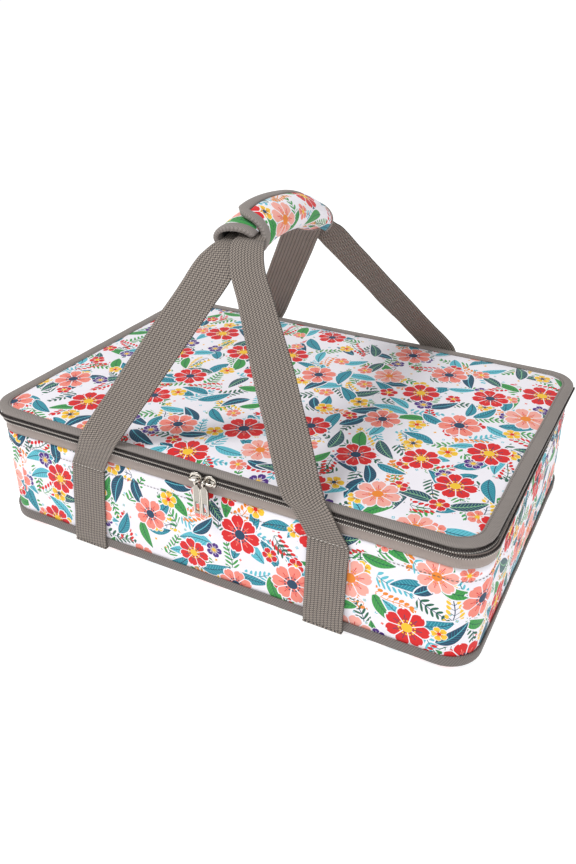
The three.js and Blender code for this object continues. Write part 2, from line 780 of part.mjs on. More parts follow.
// Pull: an eye round the bridge and a slotted tab below it
function pullTab(x) {
  const ring = new THREE.Shape();
  ring.absarc(0, 0, eyeOuterRadius, 0, 2 * Math.PI, false);
  const hole = new THREE.Path();
  hole.absarc(0, 0, eyeInnerRadius, 0, 2 * Math.PI, true);
  ring.holes.push(hole);
  const eye = new THREE.ExtrudeGeometry(ring, {
    depth: eyeWidth,
    bevelEnabled: false,
    curveSegments: eyeSteps / 2,
  });
  eye.rotateY(Math.PI / 2);
  eye.translate(x - eyeWidth / 2, frontAt(barOffset), barHeight);
  const tabTop = barHeight - (eyeOuterRadius + eyeInnerRadius) / 2;
  const tabLow = tabTop - pullLength;
  const half = pullWidth / 2;
  const tab = new THREE.Shape();
  tab.moveTo(-eyeWidth / 2, tabTop);
  tab.lineTo(-half, tabTop - half);
  tab.lineTo(-half, tabLow + half / 2);
  tab.quadraticCurveTo(-half, tabLow, -half / 2, tabLow);
  tab.lineTo(half / 2, tabLow);
  tab.quadraticCurveTo(half, tabLow, half, tabLow + half / 2);
  tab.lineTo(half, tabTop - half);
  tab.lineTo(eyeWidth / 2, tabTop);
  const slotLow = tabLow + pullSlotInset;
  const slot = new THREE.Path();
  slot.moveTo(-pullSlotWidth / 2, slotLow);
  slot.lineTo(-pullSlotWidth / 2, slotLow + pullSlotLength);
  slot.lineTo(pullSlotWidth / 2, slotLow + pullSlotLength);
  slot.lineTo(pullSlotWidth / 2, slotLow);
  tab.holes.push(slot);
  const plate = new THREE.ExtrudeGeometry(tab, {
    depth: pullThickness,
    bevelEnabled: false,
    curveSegments: 4,
  });
  plate.rotateX(Math.PI / 2);
  plate.translate(x, frontAt(barOffset - pullThickness / 2), 0);
  return join(eye, plate);
}

// Where the sliders meet, each pull hangs at the inner end of its bridge
const pullShift = bridgeLength / 2 - bridgeBar - clearance - eyeWidth / 2;
for (const [name, side] of [["left", -1], ["right", 1]]) {
  const x = sliderMiddleX + (side * sliderSpacing) / 2;
  add(`${name}_slider`, sliderBody(x), materials.nickel);
  add(`${name}_pull`, pullTab(x - side * pullShift), materials.nickel);
}

export default group;
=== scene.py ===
# %% [markdown]
# A casserole carrier. It is a padded box of printed cotton with a zipped lid, and two
# webbing loops gathered in a padded wrap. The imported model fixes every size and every
# hinge, so this lesson only dresses it: cloth, tape, webbing, zip and print.

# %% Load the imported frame
import math

import bmesh
import bpy
from mathutils import Matrix, Vector, noise


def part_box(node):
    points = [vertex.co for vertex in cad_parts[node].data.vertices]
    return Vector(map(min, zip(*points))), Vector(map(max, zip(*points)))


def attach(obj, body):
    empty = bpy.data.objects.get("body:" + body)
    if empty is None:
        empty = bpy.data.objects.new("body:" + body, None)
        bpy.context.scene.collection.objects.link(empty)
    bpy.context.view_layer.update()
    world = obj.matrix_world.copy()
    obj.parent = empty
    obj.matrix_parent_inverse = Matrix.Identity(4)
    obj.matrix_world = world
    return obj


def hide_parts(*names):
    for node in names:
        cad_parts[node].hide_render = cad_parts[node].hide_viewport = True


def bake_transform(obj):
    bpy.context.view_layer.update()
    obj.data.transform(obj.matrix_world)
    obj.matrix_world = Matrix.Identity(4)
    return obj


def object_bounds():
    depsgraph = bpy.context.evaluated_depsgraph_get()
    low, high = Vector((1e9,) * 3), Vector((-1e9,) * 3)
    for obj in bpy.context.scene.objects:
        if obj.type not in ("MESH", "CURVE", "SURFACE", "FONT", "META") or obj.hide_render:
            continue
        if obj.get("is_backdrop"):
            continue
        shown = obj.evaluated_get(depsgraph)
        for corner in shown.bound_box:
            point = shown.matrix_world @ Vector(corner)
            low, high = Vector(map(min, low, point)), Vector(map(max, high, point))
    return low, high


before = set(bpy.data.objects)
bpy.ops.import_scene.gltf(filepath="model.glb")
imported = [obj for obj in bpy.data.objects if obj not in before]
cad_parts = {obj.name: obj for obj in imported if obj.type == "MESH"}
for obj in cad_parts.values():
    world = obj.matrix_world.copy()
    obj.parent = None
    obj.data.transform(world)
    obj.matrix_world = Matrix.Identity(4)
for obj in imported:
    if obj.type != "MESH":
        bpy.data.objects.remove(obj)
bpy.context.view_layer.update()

MM = 0.001

# %% [markdown]
# The camera stands where the photographer stood: to the right of the front and above.
# Its place and lens follow from the perspective of the box's straight edges.

# %% Camera, light and floor
CAMERA_PLACE = Vector((287.1, -556.0, 422.6)) * MM
CAMERA_AZIMUTH = math.radians(27.70)
CAMERA_ELEVATION = math.radians(29.67)
CAMERA_LENS = 33.84
CAMERA_SENSOR = 36
CAMERA_NEAR = 10 * MM


def add_camera():
    camera = bpy.data.objects.new("camera", bpy.data.cameras.new("camera"))
    bpy.context.scene.collection.objects.link(camera)
    camera.data.lens = CAMERA_LENS
    camera.data.sensor_width = CAMERA_SENSOR
    camera.data.clip_start = CAMERA_NEAR
    flat = math.cos(CAMERA_ELEVATION)
    look = Vector((
        -math.sin(CAMERA_AZIMUTH) * flat,
        math.cos(CAMERA_AZIMUTH) * flat,
        -math.sin(CAMERA_ELEVATION),
    ))
    camera.location = CAMERA_PLACE
    camera.rotation_euler = look.to_track_quat("-Z", "Y").to_euler()
    bpy.context.scene.camera = camera


def add_area_light(name, place, size, power, target=(0, 0, 0.08)):
    light = bpy.data.lights.new(name, "AREA")
    light.shape = "DISK"
    light.size = size
    light.energy = power
    holder = bpy.data.objects.new(name, light)
    bpy.context.scene.collection.objects.link(holder)
    holder.location = place
    holder.rotation_euler = (Vector(target) - Vector(place)).to_track_quat("-Z", "Y").to_euler()


def add_world(strength):
    world = bpy.data.worlds.new("studio")
    world.use_nodes = True
    background = world.node_tree.nodes["Background"]
    background.inputs["Color"].default_value = (1, 1, 1, 1)
    background.inputs["Strength"].default_value = strength
    bpy.context.scene.world = world


add_camera()
add_area_light("key", place=(-1.0, -0.9, 2.1), size=0.8, power=29)
add_area_light("fill", place=(1.6, -0.9, 0.9), size=1.4, power=7)
add_world(strength=0.52)
bpy.context.scene.view_settings.view_transform = "Standard"
print("camera looks down", round(math.degrees(CAMERA_ELEVATION), 1), "degrees")

# %% [markdown]
# Every cloth piece starts as a grid of quads. Each corner of the grid is put in its place by
# a rule that knows how far across and how far along it lies. The same two lengths, in
# metres, become the UV map, so weave and print keep their real size on every piece.

# %% Helpers for meshes
def finish_mesh(name, bm, smooth=True):
    mesh = bpy.data.meshes.new(name)
    bm.to_mesh(mesh)
    bm.free()
    piece = bpy.data.objects.new(name, mesh)
    bpy.context.scene.collection.objects.link(piece)
    if smooth:
        mesh.polygons.foreach_set("use_smooth", [True] * len(mesh.polygons))
    return piece


def cloth_slab(name, across, along, place, width, length, shift=(0, 0)):
    """A closed slab of cloth. place(u, v, w) gives a point, with w 0 below and 1 on top."""
    bm = bmesh.new()
    uv = bm.loops.layers.uv.new("UVMap")
    bmesh.ops.create_grid(bm, x_segments=across, y_segments=along, size=0.5)
    grown = bmesh.ops.extrude_face_region(bm, geom=bm.faces[:])["geom"]
    top = [g for g in grown if isinstance(g, bmesh.types.BMVert)]
    bmesh.ops.translate(bm, verts=top, vec=(0, 0, 1))
    for face in bm.faces:
        for loop in face.loops:
            u, v, w = loop.vert.co.x + 0.5, loop.vert.co.y + 0.5, loop.vert.co.z
            loop[uv].uv = (u * width + shift[0], v * length + shift[1] + w * MM)
    for vert in bm.verts:
        vert.co = place(vert.co.x + 0.5, vert.co.y + 0.5, vert.co.z)
    bmesh.ops.recalc_face_normals(bm, faces=bm.faces)
    return finish_mesh(name, bm)


# %% The pale floor
FLOOR_DROP = 0.5 * MM
FLOOR_GREY, FLOOR_GLOW = 0.5, 0.78


def lay_floor(half_size):
    """A pale floor. It glows a little, so that its shadows stay soft and light."""
    bm = bmesh.new()
    bmesh.ops.create_grid(bm, x_segments=1, y_segments=1, size=half_size)
    bmesh.ops.translate(bm, verts=bm.verts, vec=(0, 0, -FLOOR_DROP))
    floor = finish_mesh("floor", bm, smooth=False)
    pale = bpy.data.materials.new("pale_floor")
    pale.use_nodes = True
    shader = pale.node_tree.nodes["Principled BSDF"]
    shader.inputs["Base Color"].default_value = (FLOOR_GREY, FLOOR_GREY, FLOOR_GREY, 1)
    shader.inputs["Roughness"].default_value = 0.9
    shader.inputs["Specular IOR Level"].default_value = 0
    shader.inputs["Emission Color"].default_value = (1, 1, 1, 1)
    shader.inputs["Emission Strength"].default_value = FLOOR_GLOW
    floor.data.materials.append(pale)
    floor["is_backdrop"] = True


lay_floor(half_size=40)
print("the floor is laid")


# %% Two small sums
def smoothstep(low, high, value):
    t = min(max((value - low) / (high - low), 0), 1)
    return t * t * (3 - 2 * t)


def mix(a, b, share):
    return a + (b - a) * share


# %% [markdown]
# The box has one outline: a rectangle with round corners. Bands, tapes, bindings and
# lining all follow it, each with its own small profile, so one helper sweeps them all.

# %% The outline of the box
HALF_X, HALF_Y, LID_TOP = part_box("lid_panel")[1]
CORNER = 24 * MM
CORE_X, CORE_Y = HALF_X - CORNER, HALF_Y - CORNER
QUARTER = math.pi / 2
WALL_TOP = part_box("side_band")[1][2]
WALL_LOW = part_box("base_panel")[0][2]
WALL_BULGE = 2.4 * MM
SWELL_POWER = 0.7
WOBBLE_SCALE = 45
SEAM_HEIGHT = (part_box("zip_coil_lower")[1][2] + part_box("zip_coil_upper")[0][2]) / 2
LID_DRIFT = 1.6 * MM
DRIFT_BEHIND = -0.5
DRIFT_FROM = 30 * MM
print("the box is", round(2 * HALF_X / MM), "by", round(2 * HALF_Y / MM), "mm")


def outline_parts(x, y):
    """The core point that a point of the outline belongs to, and the way out from it."""
    core = Vector((min(max(x, -CORE_X), CORE_X), min(max(y, -CORE_Y), CORE_Y)))
    out = Vector((x, y)) - core
    return core, out.normalized()


def side_swell(core, out):
    """0 at the corners and 1 at the middle of a side."""
    if abs(out.y) > 0.999:
        share = (core.x + CORE_X) / (2 * CORE_X)
    elif abs(out.x) > 0.999:
        share = (core.y + CORE_Y) / (2 * CORE_Y)
    else:
        return 0
    return max(math.sin(math.pi * share), 0) ** SWELL_POWER


def wall_bulge(height, swell):
    share = min(max((height - WALL_LOW) / (WALL_TOP - WALL_LOW), 0), 1)
    return WALL_BULGE * swell * math.sin(math.pi * share)


def drift_at(height, y):
    """The lid has turned a little on the tub: to the left at the front, to the right behind."""
    drift = LID_DRIFT * mix(1, DRIFT_BEHIND, (y + HALF_Y) / (2 * HALF_Y))
    if height > SEAM_HEIGHT:
        return -drift
    return drift * smoothstep(DRIFT_FROM, SEAM_HEIGHT, height)


def flat_place(core, out):
    return core + out * CORNER


# %% Lengths along the outline
def around(x, y):
    """How far along the outline a point lies, from the left end of the front."""
    core, out = outline_parts(x, y)
    turn = (math.atan2(out.y, out.x) + QUARTER) % (2 * math.pi)
    if turn > 2 * math.pi - 1e-4:
        turn = 0
    if turn < QUARTER - 1e-4:
        straight = core.x + CORE_X
    elif turn < 2 * QUARTER - 1e-4:
        straight = 2 * CORE_X + core.y + CORE_Y
    elif turn < 3 * QUARTER - 1e-4:
        straight = 3 * CORE_X + 2 * CORE_Y - core.x
    else:
        straight = 4 * CORE_X + 3 * CORE_Y - core.y
    return straight + turn * CORNER


PERIMETER = 4 * CORE_X + 4 * CORE_Y + 2 * math.pi * CORNER
print("once round the box is", round(PERIMETER / MM), "mm")


def outline_at(run):
    """The core point and the way out, at a length along the outline."""
    corner = QUARTER * CORNER
    x, y, turn = -CORE_X, -CORE_Y, -QUARTER
    for length, step in ((2 * CORE_X, (1, 0)), (2 * CORE_Y, (0, 1)), (2 * CORE_X, (-1, 0)),
                         (2 * CORE_Y, (0, -1))):
        straight = min(run, length)
        x, y, run = x + step[0] * straight, y + step[1] * straight, run - straight
        if run <= 0:
            break
        arc = min(run, corner)
        turn, run = turn + arc / CORNER, run - arc
        if run <= 0:
            break
    return Vector((x, y)), Vector((math.cos(turn), math.sin(turn)))


# %% A profile swept round the box
FINE_CUTS = (60, 40)


def outline_loop(bm, long_cuts, short_cuts, corner_steps):
    """The closed outline as loose edges: a quad with its four corners rounded."""
    bmesh.ops.create_grid(bm, x_segments=1, y_segments=1, size=1)
    bmesh.ops.scale(bm, vec=(HALF_X, HALF_Y, 1), verts=bm.verts)
    bmesh.ops.bevel(
        bm, geom=bm.verts[:], offset=CORNER, segments=corner_steps,
        profile=0.5, affect="VERTICES", material=-1,
    )
    bmesh.ops.delete(bm, geom=bm.faces[:], context="FACES_ONLY")
    for axis, cuts in ((0, long_cuts), (1, short_cuts)):
        straight = [
            e for e in bm.edges
            if abs(e.verts[0].co[axis] - e.verts[1].co[axis]) > 2 * CORNER
        ]
        bmesh.ops.subdivide_edges(bm, edges=straight, cuts=cuts)
    return bm.edges[:]


def sweep_outline(name, profile, closed=True, follow=False, cuts=(40, 26), corner_steps=10,
                  keep_front_of=None, keep_back_of=None, wobble=0, stray=None):
    """Sweeps a profile of (offset, height) round the box. The profile is a closed ring."""
    bm = bmesh.new()
    uv = bm.loops.layers.uv.new("UVMap")
    edges = outline_loop(bm, cuts[0], cuts[1], corner_steps)
    run = [0]
    for before, after in zip(profile, profile[1:]):
        run.append(run[-1] + math.dist(before, after))
    rows = {}

    def put(verts, row):
        offset, height = profile[row]
        for v in verts:
            core, out = outline_parts(v.co.x, v.co.y)
            extra = wall_bulge(height, side_swell(core, out)) if follow else 0
            if wobble:
                spot = Vector((v.co.x, v.co.y, height)) * WOBBLE_SCALE
                extra += wobble * noise.noise(spot)
            if stray:
                extra += stray(flat_place(core, out), offset)
            flat = core + out * (CORNER + offset + extra)
            v.co = (flat.x + drift_at(height, flat.y), flat.y, height)
            rows[v] = row

    put({v for e in edges for v in e.verts}, 0)
    first, current = edges, edges
    for row in range(1, len(profile)):
        grown = bmesh.ops.extrude_edge_only(bm, edges=current)["geom"]
        fresh = {g for g in grown if isinstance(g, bmesh.types.BMVert)}
        put(fresh, row)
        current = [g for g in grown if isinstance(g, bmesh.types.BMEdge)]
        current = [e for e in current if fresh.issuperset(e.verts)]
    if closed:
        bmesh.ops.bridge_loops(bm, edges=first + current)
    total = run[-1] + math.dist(profile[-1], profile[0])
    for face in bm.faces:
        lengths = [around(l.vert.co.x, l.vert.co.y) for l in face.loops]
        spans = [run[rows[l.vert]] for l in face.loops]
        for loop, length, span in zip(face.loops, lengths, spans):
            if max(lengths) - length > PERIMETER / 2:
                length += PERIMETER
            if closed and max(spans) - min(spans) > total / 2 and span == 0:
                span = total
            loop[uv].uv = (length, span)
    for limit, keep in ((keep_front_of, 1), (keep_back_of, -1)):
        if limit is None:
            continue
        cut = bmesh.ops.bisect_plane(
            bm, geom=bm.verts[:] + bm.edges[:] + bm.faces[:], dist=1e-7,
            plane_co=(0, limit, 0), plane_no=(0, keep, 0), clear_outer=True,
        )["geom_cut"]
        rims = [g for g in cut if isinstance(g, bmesh.types.BMEdge)]
        bmesh.ops.holes_fill(bm, edges=rims, sides=0)
    bmesh.ops.recalc_face_normals(bm, faces=bm.faces)
    return finish_mesh(name, bm)


# %% A profile with round corners
def rounded_profile(inner, outer, low, high, radius, steps=3):
    """A closed profile with round corners, between two offsets and two heights."""
    points = []
    corners = [
        (outer - radius, low + radius, -QUARTER),
        (outer - radius, high - radius, 0),
        (inner + radius, high - radius, QUARTER),
        (inner + radius, low + radius, 2 * QUARTER),
    ]
    for x, y, start in corners:
        for i in range(steps + 1):
            angle = start + QUARTER * i / steps
            points.append((x + radius * math.cos(angle), y + radius * math.sin(angle)))
    return points


# %% [markdown]
# Every finished piece goes through one helper. It gives the piece its finish, sets it on the
# body that it moves with and hides the imported solids that it stands in for.

# %% Put a finished piece on its body
def dress(piece, body, slot_name, material, *nodes, padding=None):
    piece.data.materials.clear()
    piece.data.materials.append(material)
    if body:
        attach(piece, body)
    if nodes:
        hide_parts(*nodes)
    print(piece.name, len(piece.data.polygons), "faces")
    return piece


# %% [markdown]
# The finishes come next. A shader can do sums on the UV place of a point, and a print or a
# weave is such a sum. A small class lets the sums be written as plain formulas, and every
# effect that several finishes share becomes a node group with named inputs and outputs.

# %% Helpers for shader sums
def connect(tree, value, socket):
    if isinstance(value, Wire):
        tree.links.new(value.socket, socket)
    else:
        socket.default_value = value


class Wire:
    """A socket of a shader tree that can be used in a formula."""

    def __init__(self, tree, socket):
        self.tree = tree
        self.socket = socket

    def math(self, operation, *others):
        node = self.tree.nodes.new("ShaderNodeMath")
        node.operation = operation
        for socket, value in zip(node.inputs, (self, *others)):
            connect(self.tree, value, socket)
        return Wire(self.tree, node.outputs[0])

    def __add__(self, other):
        return self.math("ADD", other)

    def __sub__(self, other):
        return self.math("SUBTRACT", other)

    def __mul__(self, other):
        return self.math("MULTIPLY", other)

    def __truediv__(self, other):
        return self.math("DIVIDE", other)

    def __pow__(self, other):
        return self.math("POWER", other)

    def __lt__(self, other):
        return self.math("LESS_THAN", other)

    def __gt__(self, other):
        return self.math("GREATER_THAN", other)

    def __abs__(self):
        return self.math("ABSOLUTE")

    def minus_from(self, number):
        return self * -1 + number


# %% Node groups
SOCKETS = {"value": "NodeSocketFloat", "colour": "NodeSocketColor", "vector": "NodeSocketVector"}


def new_group(name, takes, gives):
    """A node group. Returns its tree, its inputs as wires and its output node."""
    tree = bpy.data.node_groups.new(name, "ShaderNodeTree")
    for label, (kind, value) in takes.items():
        socket = tree.interface.new_socket(label, in_out="INPUT", socket_type=SOCKETS[kind])
        socket.default_value = value
    for label, kind in gives.items():
        tree.interface.new_socket(label, in_out="OUTPUT", socket_type=SOCKETS[kind])
    entry = tree.nodes.new("NodeGroupInput")
    wires = {s.name: Wire(tree, s) for s in entry.outputs if s.name}
    return tree, wires, tree.nodes.new("NodeGroupOutput")


def place_group(tree, group, values):
    """Puts a node group in a tree and returns its outputs as wires."""
    node = tree.nodes.new("ShaderNodeGroup")
    node.node_tree = group
    for label, value in values.items():
        connect(tree, value, node.inputs[label])
    return {s.name: Wire(tree, s) for s in node.outputs}


# %% Colours, vectors and noise
def blend_colours(tree, share, first, second):
    node = tree.nodes.new("ShaderNodeMix")
    node.data_type = "RGBA"
    connect(tree, share, node.inputs["Factor"])
    connect(tree, first, node.inputs[6])
    connect(tree, second, node.inputs[7])
    return Wire(tree, node.outputs[2])


def split_vector(tree, vector):
    node = tree.nodes.new("ShaderNodeSeparateXYZ")
    connect(tree, vector, node.inputs[0])
    return [Wire(tree, s) for s in node.outputs]


def join_vector(tree, x, y, z=0.0):
    node = tree.nodes.new("ShaderNodeCombineXYZ")
    for socket, value in zip(node.inputs, (x, y, z)):
        connect(tree, value, socket)
    return Wire(tree, node.outputs[0])


def random_numbers(tree, vector, seed):
    """Three random numbers from 0 to 1 that are the same for the same vector."""
    node = tree.nodes.new("ShaderNodeTexWhiteNoise")
    node.noise_dimensions = "4D"
    connect(tree, vector, node.inputs["Vector"])
    connect(tree, seed, node.inputs["W"])
    parts = tree.nodes.new("ShaderNodeSeparateColor")
    tree.links.new(node.outputs["Color"], parts.inputs[0])
    return [Wire(tree, s) for s in parts.outputs]


def noise_value(tree, vector, scale, detail=2.0, roughness=0.5):
    node = tree.nodes.new("ShaderNodeTexNoise")
    node.inputs["Detail"].default_value = detail
    node.inputs["Roughness"].default_value = roughness
    connect(tree, scale, node.inputs["Scale"])
    connect(tree, vector, node.inputs["Vector"])
    return Wire(tree, node.outputs["Fac"])


def palette(tree, pick, colours):
    """One of a few colours, chosen by a number from 0 to 1."""
    node = tree.nodes.new("ShaderNodeValToRGB")
    node.color_ramp.interpolation = "CONSTANT"
    stops = node.color_ramp.elements
    while len(stops) < len(colours):
        stops.new(0.5)
    for index, colour in enumerate(colours):
        stops[index].position = index / len(colours)
        stops[index].color = (*colour, 1)
    connect(tree, pick, node.inputs[0])
    return Wire(tree, node.outputs[0])


def shade(red, green, blue):
    """A colour given as it looks on a screen, 0 to 255, as the shader wants it."""
    return tuple(
        (c / 255 / 12.92) if c <= 10 else ((c / 255 + 0.055) / 1.055) ** 2.4
        for c in (red, green, blue)
    )


# %% [markdown]
# The cotton has an all-over floral print. Each kind of motif is strewn on its own tilted
# grid of cells: a point finds its cell, the cell's number gives a random turn, colour and
# small shift, and a formula then says whether the point is inside the motif. Layers lie on
# each other with a thin white margin, the way a textile printer spaces blooms and leaves.

# %% Cells that strew the motifs
CELL_IN = {
    "Place": ("vector", (0, 0, 0)), "Pitch": ("value", 40.0), "Tilt": ("value", 0.0),
    "Seed": ("value", 0.0), "Shift": ("value", 0.1),
}
CELL_OUT = {"X": "value", "Y": "value", "Pick": "value", "Show": "value", "Size": "value"}
cells, given, out = new_group("motif_cells", CELL_IN, CELL_OUT)
turned = cells.nodes.new("ShaderNodeVectorRotate")
turned.rotation_type = "Z_AXIS"
connect(cells, given["Place"], turned.inputs["Vector"])
connect(cells, given["Tilt"], turned.inputs["Angle"])
cell_x, cell_y, _ = split_vector(cells, Wire(cells, turned.outputs[0]))
cell_x = cell_x / given["Pitch"]
cell_y = cell_y / given["Pitch"]
row = cell_y.math("FLOOR")
cell_x = cell_x + row.math("MODULO", 2.0) * 0.5
column = cell_x.math("FLOOR")
where = join_vector(cells, column, row, 0.5)
first = random_numbers(cells, where, given["Seed"])
second = random_numbers(cells, where, given["Seed"] + 7.3)
local_x = (cell_x - column - 0.5 - (first[0] - 0.5) * given["Shift"]) * given["Pitch"]
local_y = (cell_y - row - 0.5 - (first[1] - 0.5) * given["Shift"]) * given["Pitch"]
angle = first[2] * (2 * math.pi)
sine = angle.math("SINE")
cosine = angle.math("COSINE")
for label, wire in (
    ("X", local_x * cosine + local_y * sine), ("Y", local_y * cosine - local_x * sine),
    ("Pick", second[0]), ("Show", second[1]), ("Size", second[2]),
):
    connect(cells, wire, out.inputs[label])
print("motif cells:", len(cells.nodes), "nodes")

# %% A leaf with a midrib and side veins
MOTIF_OUT = {"Mask": "value", "Margin": "value", "Detail": "value", "Heart": "value"}
leaf, given, out = new_group(
    "motif_leaf",
    {"X": ("value", 0.0), "Y": ("value", 0.0), "Length": ("value", 15.0), "Width": ("value", 5.0)},
    MOTIF_OUT,
)
run = given["X"] / given["Length"]
bent = given["Y"] - run * run * given["Length"] * 0.16
inside = (run * run).minus_from(1.0).math("MAXIMUM", 0.0) ** 0.8
edge = abs(bent) - inside * (run * -0.3 + 1.0) * given["Width"]
within = abs(run) < 1.0
vein = ((given["X"] - abs(bent) * 0.9) / 2.6).math("FRACT") < 0.16
rib = abs(bent) < 0.32
connect(leaf, (edge < 0.0) * within, out.inputs["Mask"])
connect(leaf, (edge < 1.1) * (abs(run) < 1.07), out.inputs["Margin"])
connect(leaf, vein.math("MAXIMUM", rib) * (edge < -0.7), out.inputs["Detail"])
connect(leaf, rib, out.inputs["Heart"])
print("leaf:", len(leaf.nodes), "nodes")

# %% A bloom with rounded petals, streaks and a heart
bloom, given, out = new_group(
    "motif_bloom",
    {
        "X": ("value", 0.0), "Y": ("value", 0.0), "Radius": ("value", 15.0),
        "Petals": ("value", 6.0), "Depth": ("value", 0.3), "Heart Size": ("value", 0.26),
    },
    MOTIF_OUT,
)
reach = (given["X"] * given["X"] + given["Y"] * given["Y"]).math("SQRT") / given["Radius"]
turn = given["Y"].math("ARCTAN2", given["X"]) * given["Petals"] / (2 * math.pi)
petal = (turn + 20.0).math("FRACT") - 0.5
lobe = (petal * math.pi).math("COSINE").math("MAXIMUM", 0.0)
notch = (abs(petal) < 0.06) * 0.05
edge = reach - (lobe ** 0.55 * given["Depth"] + (given["Depth"] * -1.0 + 1.0) - notch)
seam = abs(petal).minus_from(0.5) * reach < 0.028
streak = (abs(petal) < 0.035) * (reach < 0.66)
streak = streak.math("MAXIMUM", (abs(abs(petal) - 0.16) < 0.022) * (reach < 0.52))
heart = reach < given["Heart Size"]
dot_turn = (turn * 2.0 + 40.0).math("FRACT") - 0.5
dot_out = (reach - given["Heart Size"] - 0.11) * 7.0
dots = (dot_turn * dot_turn + dot_out * dot_out) < 0.09
petals = (edge < 0.0) * seam.minus_from(1.0).math("MAXIMUM", heart)
connect(bloom, petals, out.inputs["Mask"])
connect(bloom, edge < 0.08, out.inputs["Margin"])
connect(bloom, streak * (reach > given["Heart Size"]), out.inputs["Detail"])
connect(bloom, heart.math("MAXIMUM", dots), out.inputs["Heart"])
print("bloom:", len(bloom.nodes), "nodes")

# %% A sprig of paired leaflets, and a stalk of berries
sprig, given, out = new_group(
    "motif_sprig",
    {"X": ("value", 0.0), "Y": ("value", 0.0), "Length": ("value", 16.0), "Berry": ("value", 0.0)},
    MOTIF_OUT,
)
run = given["X"] / given["Length"]
bent = given["Y"] + run * run * run * given["Length"] * 0.2
side = abs(bent)
taper = (run * 0.5 + 0.5).minus_from(1.05).math("MAXIMUM", 0.0) ** 0.6
reach = taper * 6.4 + 0.6
slant = (given["X"] - side * 0.75) / 4.4
spot = (slant.math("FRACT") - 0.5) * 4.4
middle = (side - reach * 0.5) / (reach * 0.5)
blade = (middle * middle).minus_from(1.0).math("MAXIMUM", 0.0).math("SQRT") * 1.25
leaflet = (abs(spot) < blade) * (side < reach)
ball_out = side - reach + 1.6
ball = (spot * spot + ball_out * ball_out) < 3.0
stalk = (abs(spot) < 0.28) * (side < reach)
within = abs(run) < 1.0
stem = side < 0.34
berry = given["Berry"] > 0.5
green = stem.math("MAXIMUM", leaflet * berry.minus_from(1.0)).math("MAXIMUM", stalk * berry)
red = ball * berry
connect(sprig, green.math("MAXIMUM", red) * within, out.inputs["Mask"])
connect(sprig, 0.0, out.inputs["Margin"])
connect(sprig, stem, out.inputs["Detail"])
connect(sprig, red, out.inputs["Heart"])
print("sprig:", len(sprig.nodes), "nodes")

# %% One layer of the print
WHITE = shade(246, 243, 250)
RED, CORAL, PINK = shade(222, 14, 20), shade(244, 138, 122), shade(248, 172, 158)
YELLOW, ORANGE, PURPLE = shade(248, 200, 40), shade(240, 138, 34), shade(76, 32, 130)
TEAL, NAVY, AQUA = shade(16, 132, 152), shade(14, 62, 94), shade(96, 194, 210)
GREEN, MOSS, MINT = shade(60, 160, 72), shade(20, 98, 70), shade(140, 202, 150)


def print_layer(tree, place, ground, pitch, tilt, seed, shift, share, motif, sizes, colours, details,
                hearts):
    """Lays one kind of motif over the ground. sizes(cell) gives the motif's own numbers."""
    cell = place_group(tree, cells, {
        "Place": place, "Pitch": pitch, "Tilt": tilt, "Seed": seed, "Shift": shift,
    })
    form = place_group(tree, motif, {"X": cell["X"], "Y": cell["Y"], **sizes(cell)})
    shown = cell["Show"] < share
    ground = blend_colours(tree, form["Margin"] * shown, ground, (*WHITE, 1))
    ink = blend_colours(
        tree, form["Detail"], palette(tree, cell["Pick"], colours), palette(tree, cell["Pick"], details),
    )
    ink = blend_colours(tree, form["Heart"], ink, palette(tree, cell["Pick"], hearts))
    return blend_colours(tree, form["Mask"] * shown, ground, ink)


# %% The whole print, from the smallest motifs to the large blooms
floral, given, out = new_group(
    "floral_print", {"Place": ("vector", (0, 0, 0))}, {"Colour": "colour"},
)
place = given["Place"]
ink = (*WHITE, 1)
ink = print_layer(
    floral, place, ink, 11.0, 0.9, 3.0, 0.6, 0.5, bloom,
    lambda cell: {"Radius": 1.3, "Petals": 4.0, "Depth": 0.5, "Heart Size": 0.3},
    [AQUA, CORAL, AQUA, YELLOW], [AQUA, CORAL, AQUA, YELLOW], [YELLOW, RED, WHITE, RED],
)
ink = print_layer(
    floral, place, ink, 30.0, 0.35, 5.0, 0.25, 0.95, sprig,
    lambda cell: {"Length": cell["Size"] * 3.0 + 12.5, "Berry": 0.0},
    [GREEN, AQUA, MOSS, GREEN], [MOSS, TEAL, NAVY, MOSS], [MOSS, TEAL, NAVY, MOSS],
)
ink = print_layer(
    floral, place, ink, 43.0, 2.7, 8.0, 0.3, 0.9, sprig,
    lambda cell: {"Length": 15.0, "Berry": 1.0},
    [MOSS, ORANGE, GREEN, NAVY], [MOSS, ORANGE, GREEN, NAVY], [RED, ORANGE, RED, YELLOW],
)
for pitch, tilt, seed in ((31.0, 1.0, 11.0), (36.0, 2.15, 14.0)):
    ink = print_layer(
        floral, place, ink, pitch, tilt, seed, 0.2, 0.9, leaf,
        lambda cell: {"Length": cell["Size"] * 4.0 + 12.0, "Width": cell["Size"] * 1.6 + 3.9},
        [TEAL, NAVY, AQUA, GREEN, NAVY], [AQUA, TEAL, TEAL, MOSS, MINT],
        [NAVY, AQUA, NAVY, MOSS, MINT],
    )
ink = print_layer(
    floral, place, ink, 28.0, 0.2, 17.0, 0.3, 0.62, bloom,
    lambda cell: {"Radius": cell["Size"] * 2.0 + 6.0, "Petals": 5.0, "Depth": 0.42, "Heart Size": 0.24},
    [YELLOW, CORAL, PURPLE, YELLOW, RED], [ORANGE, RED, WHITE, RED, NAVY],
    [RED, YELLOW, YELLOW, NAVY, YELLOW],
)
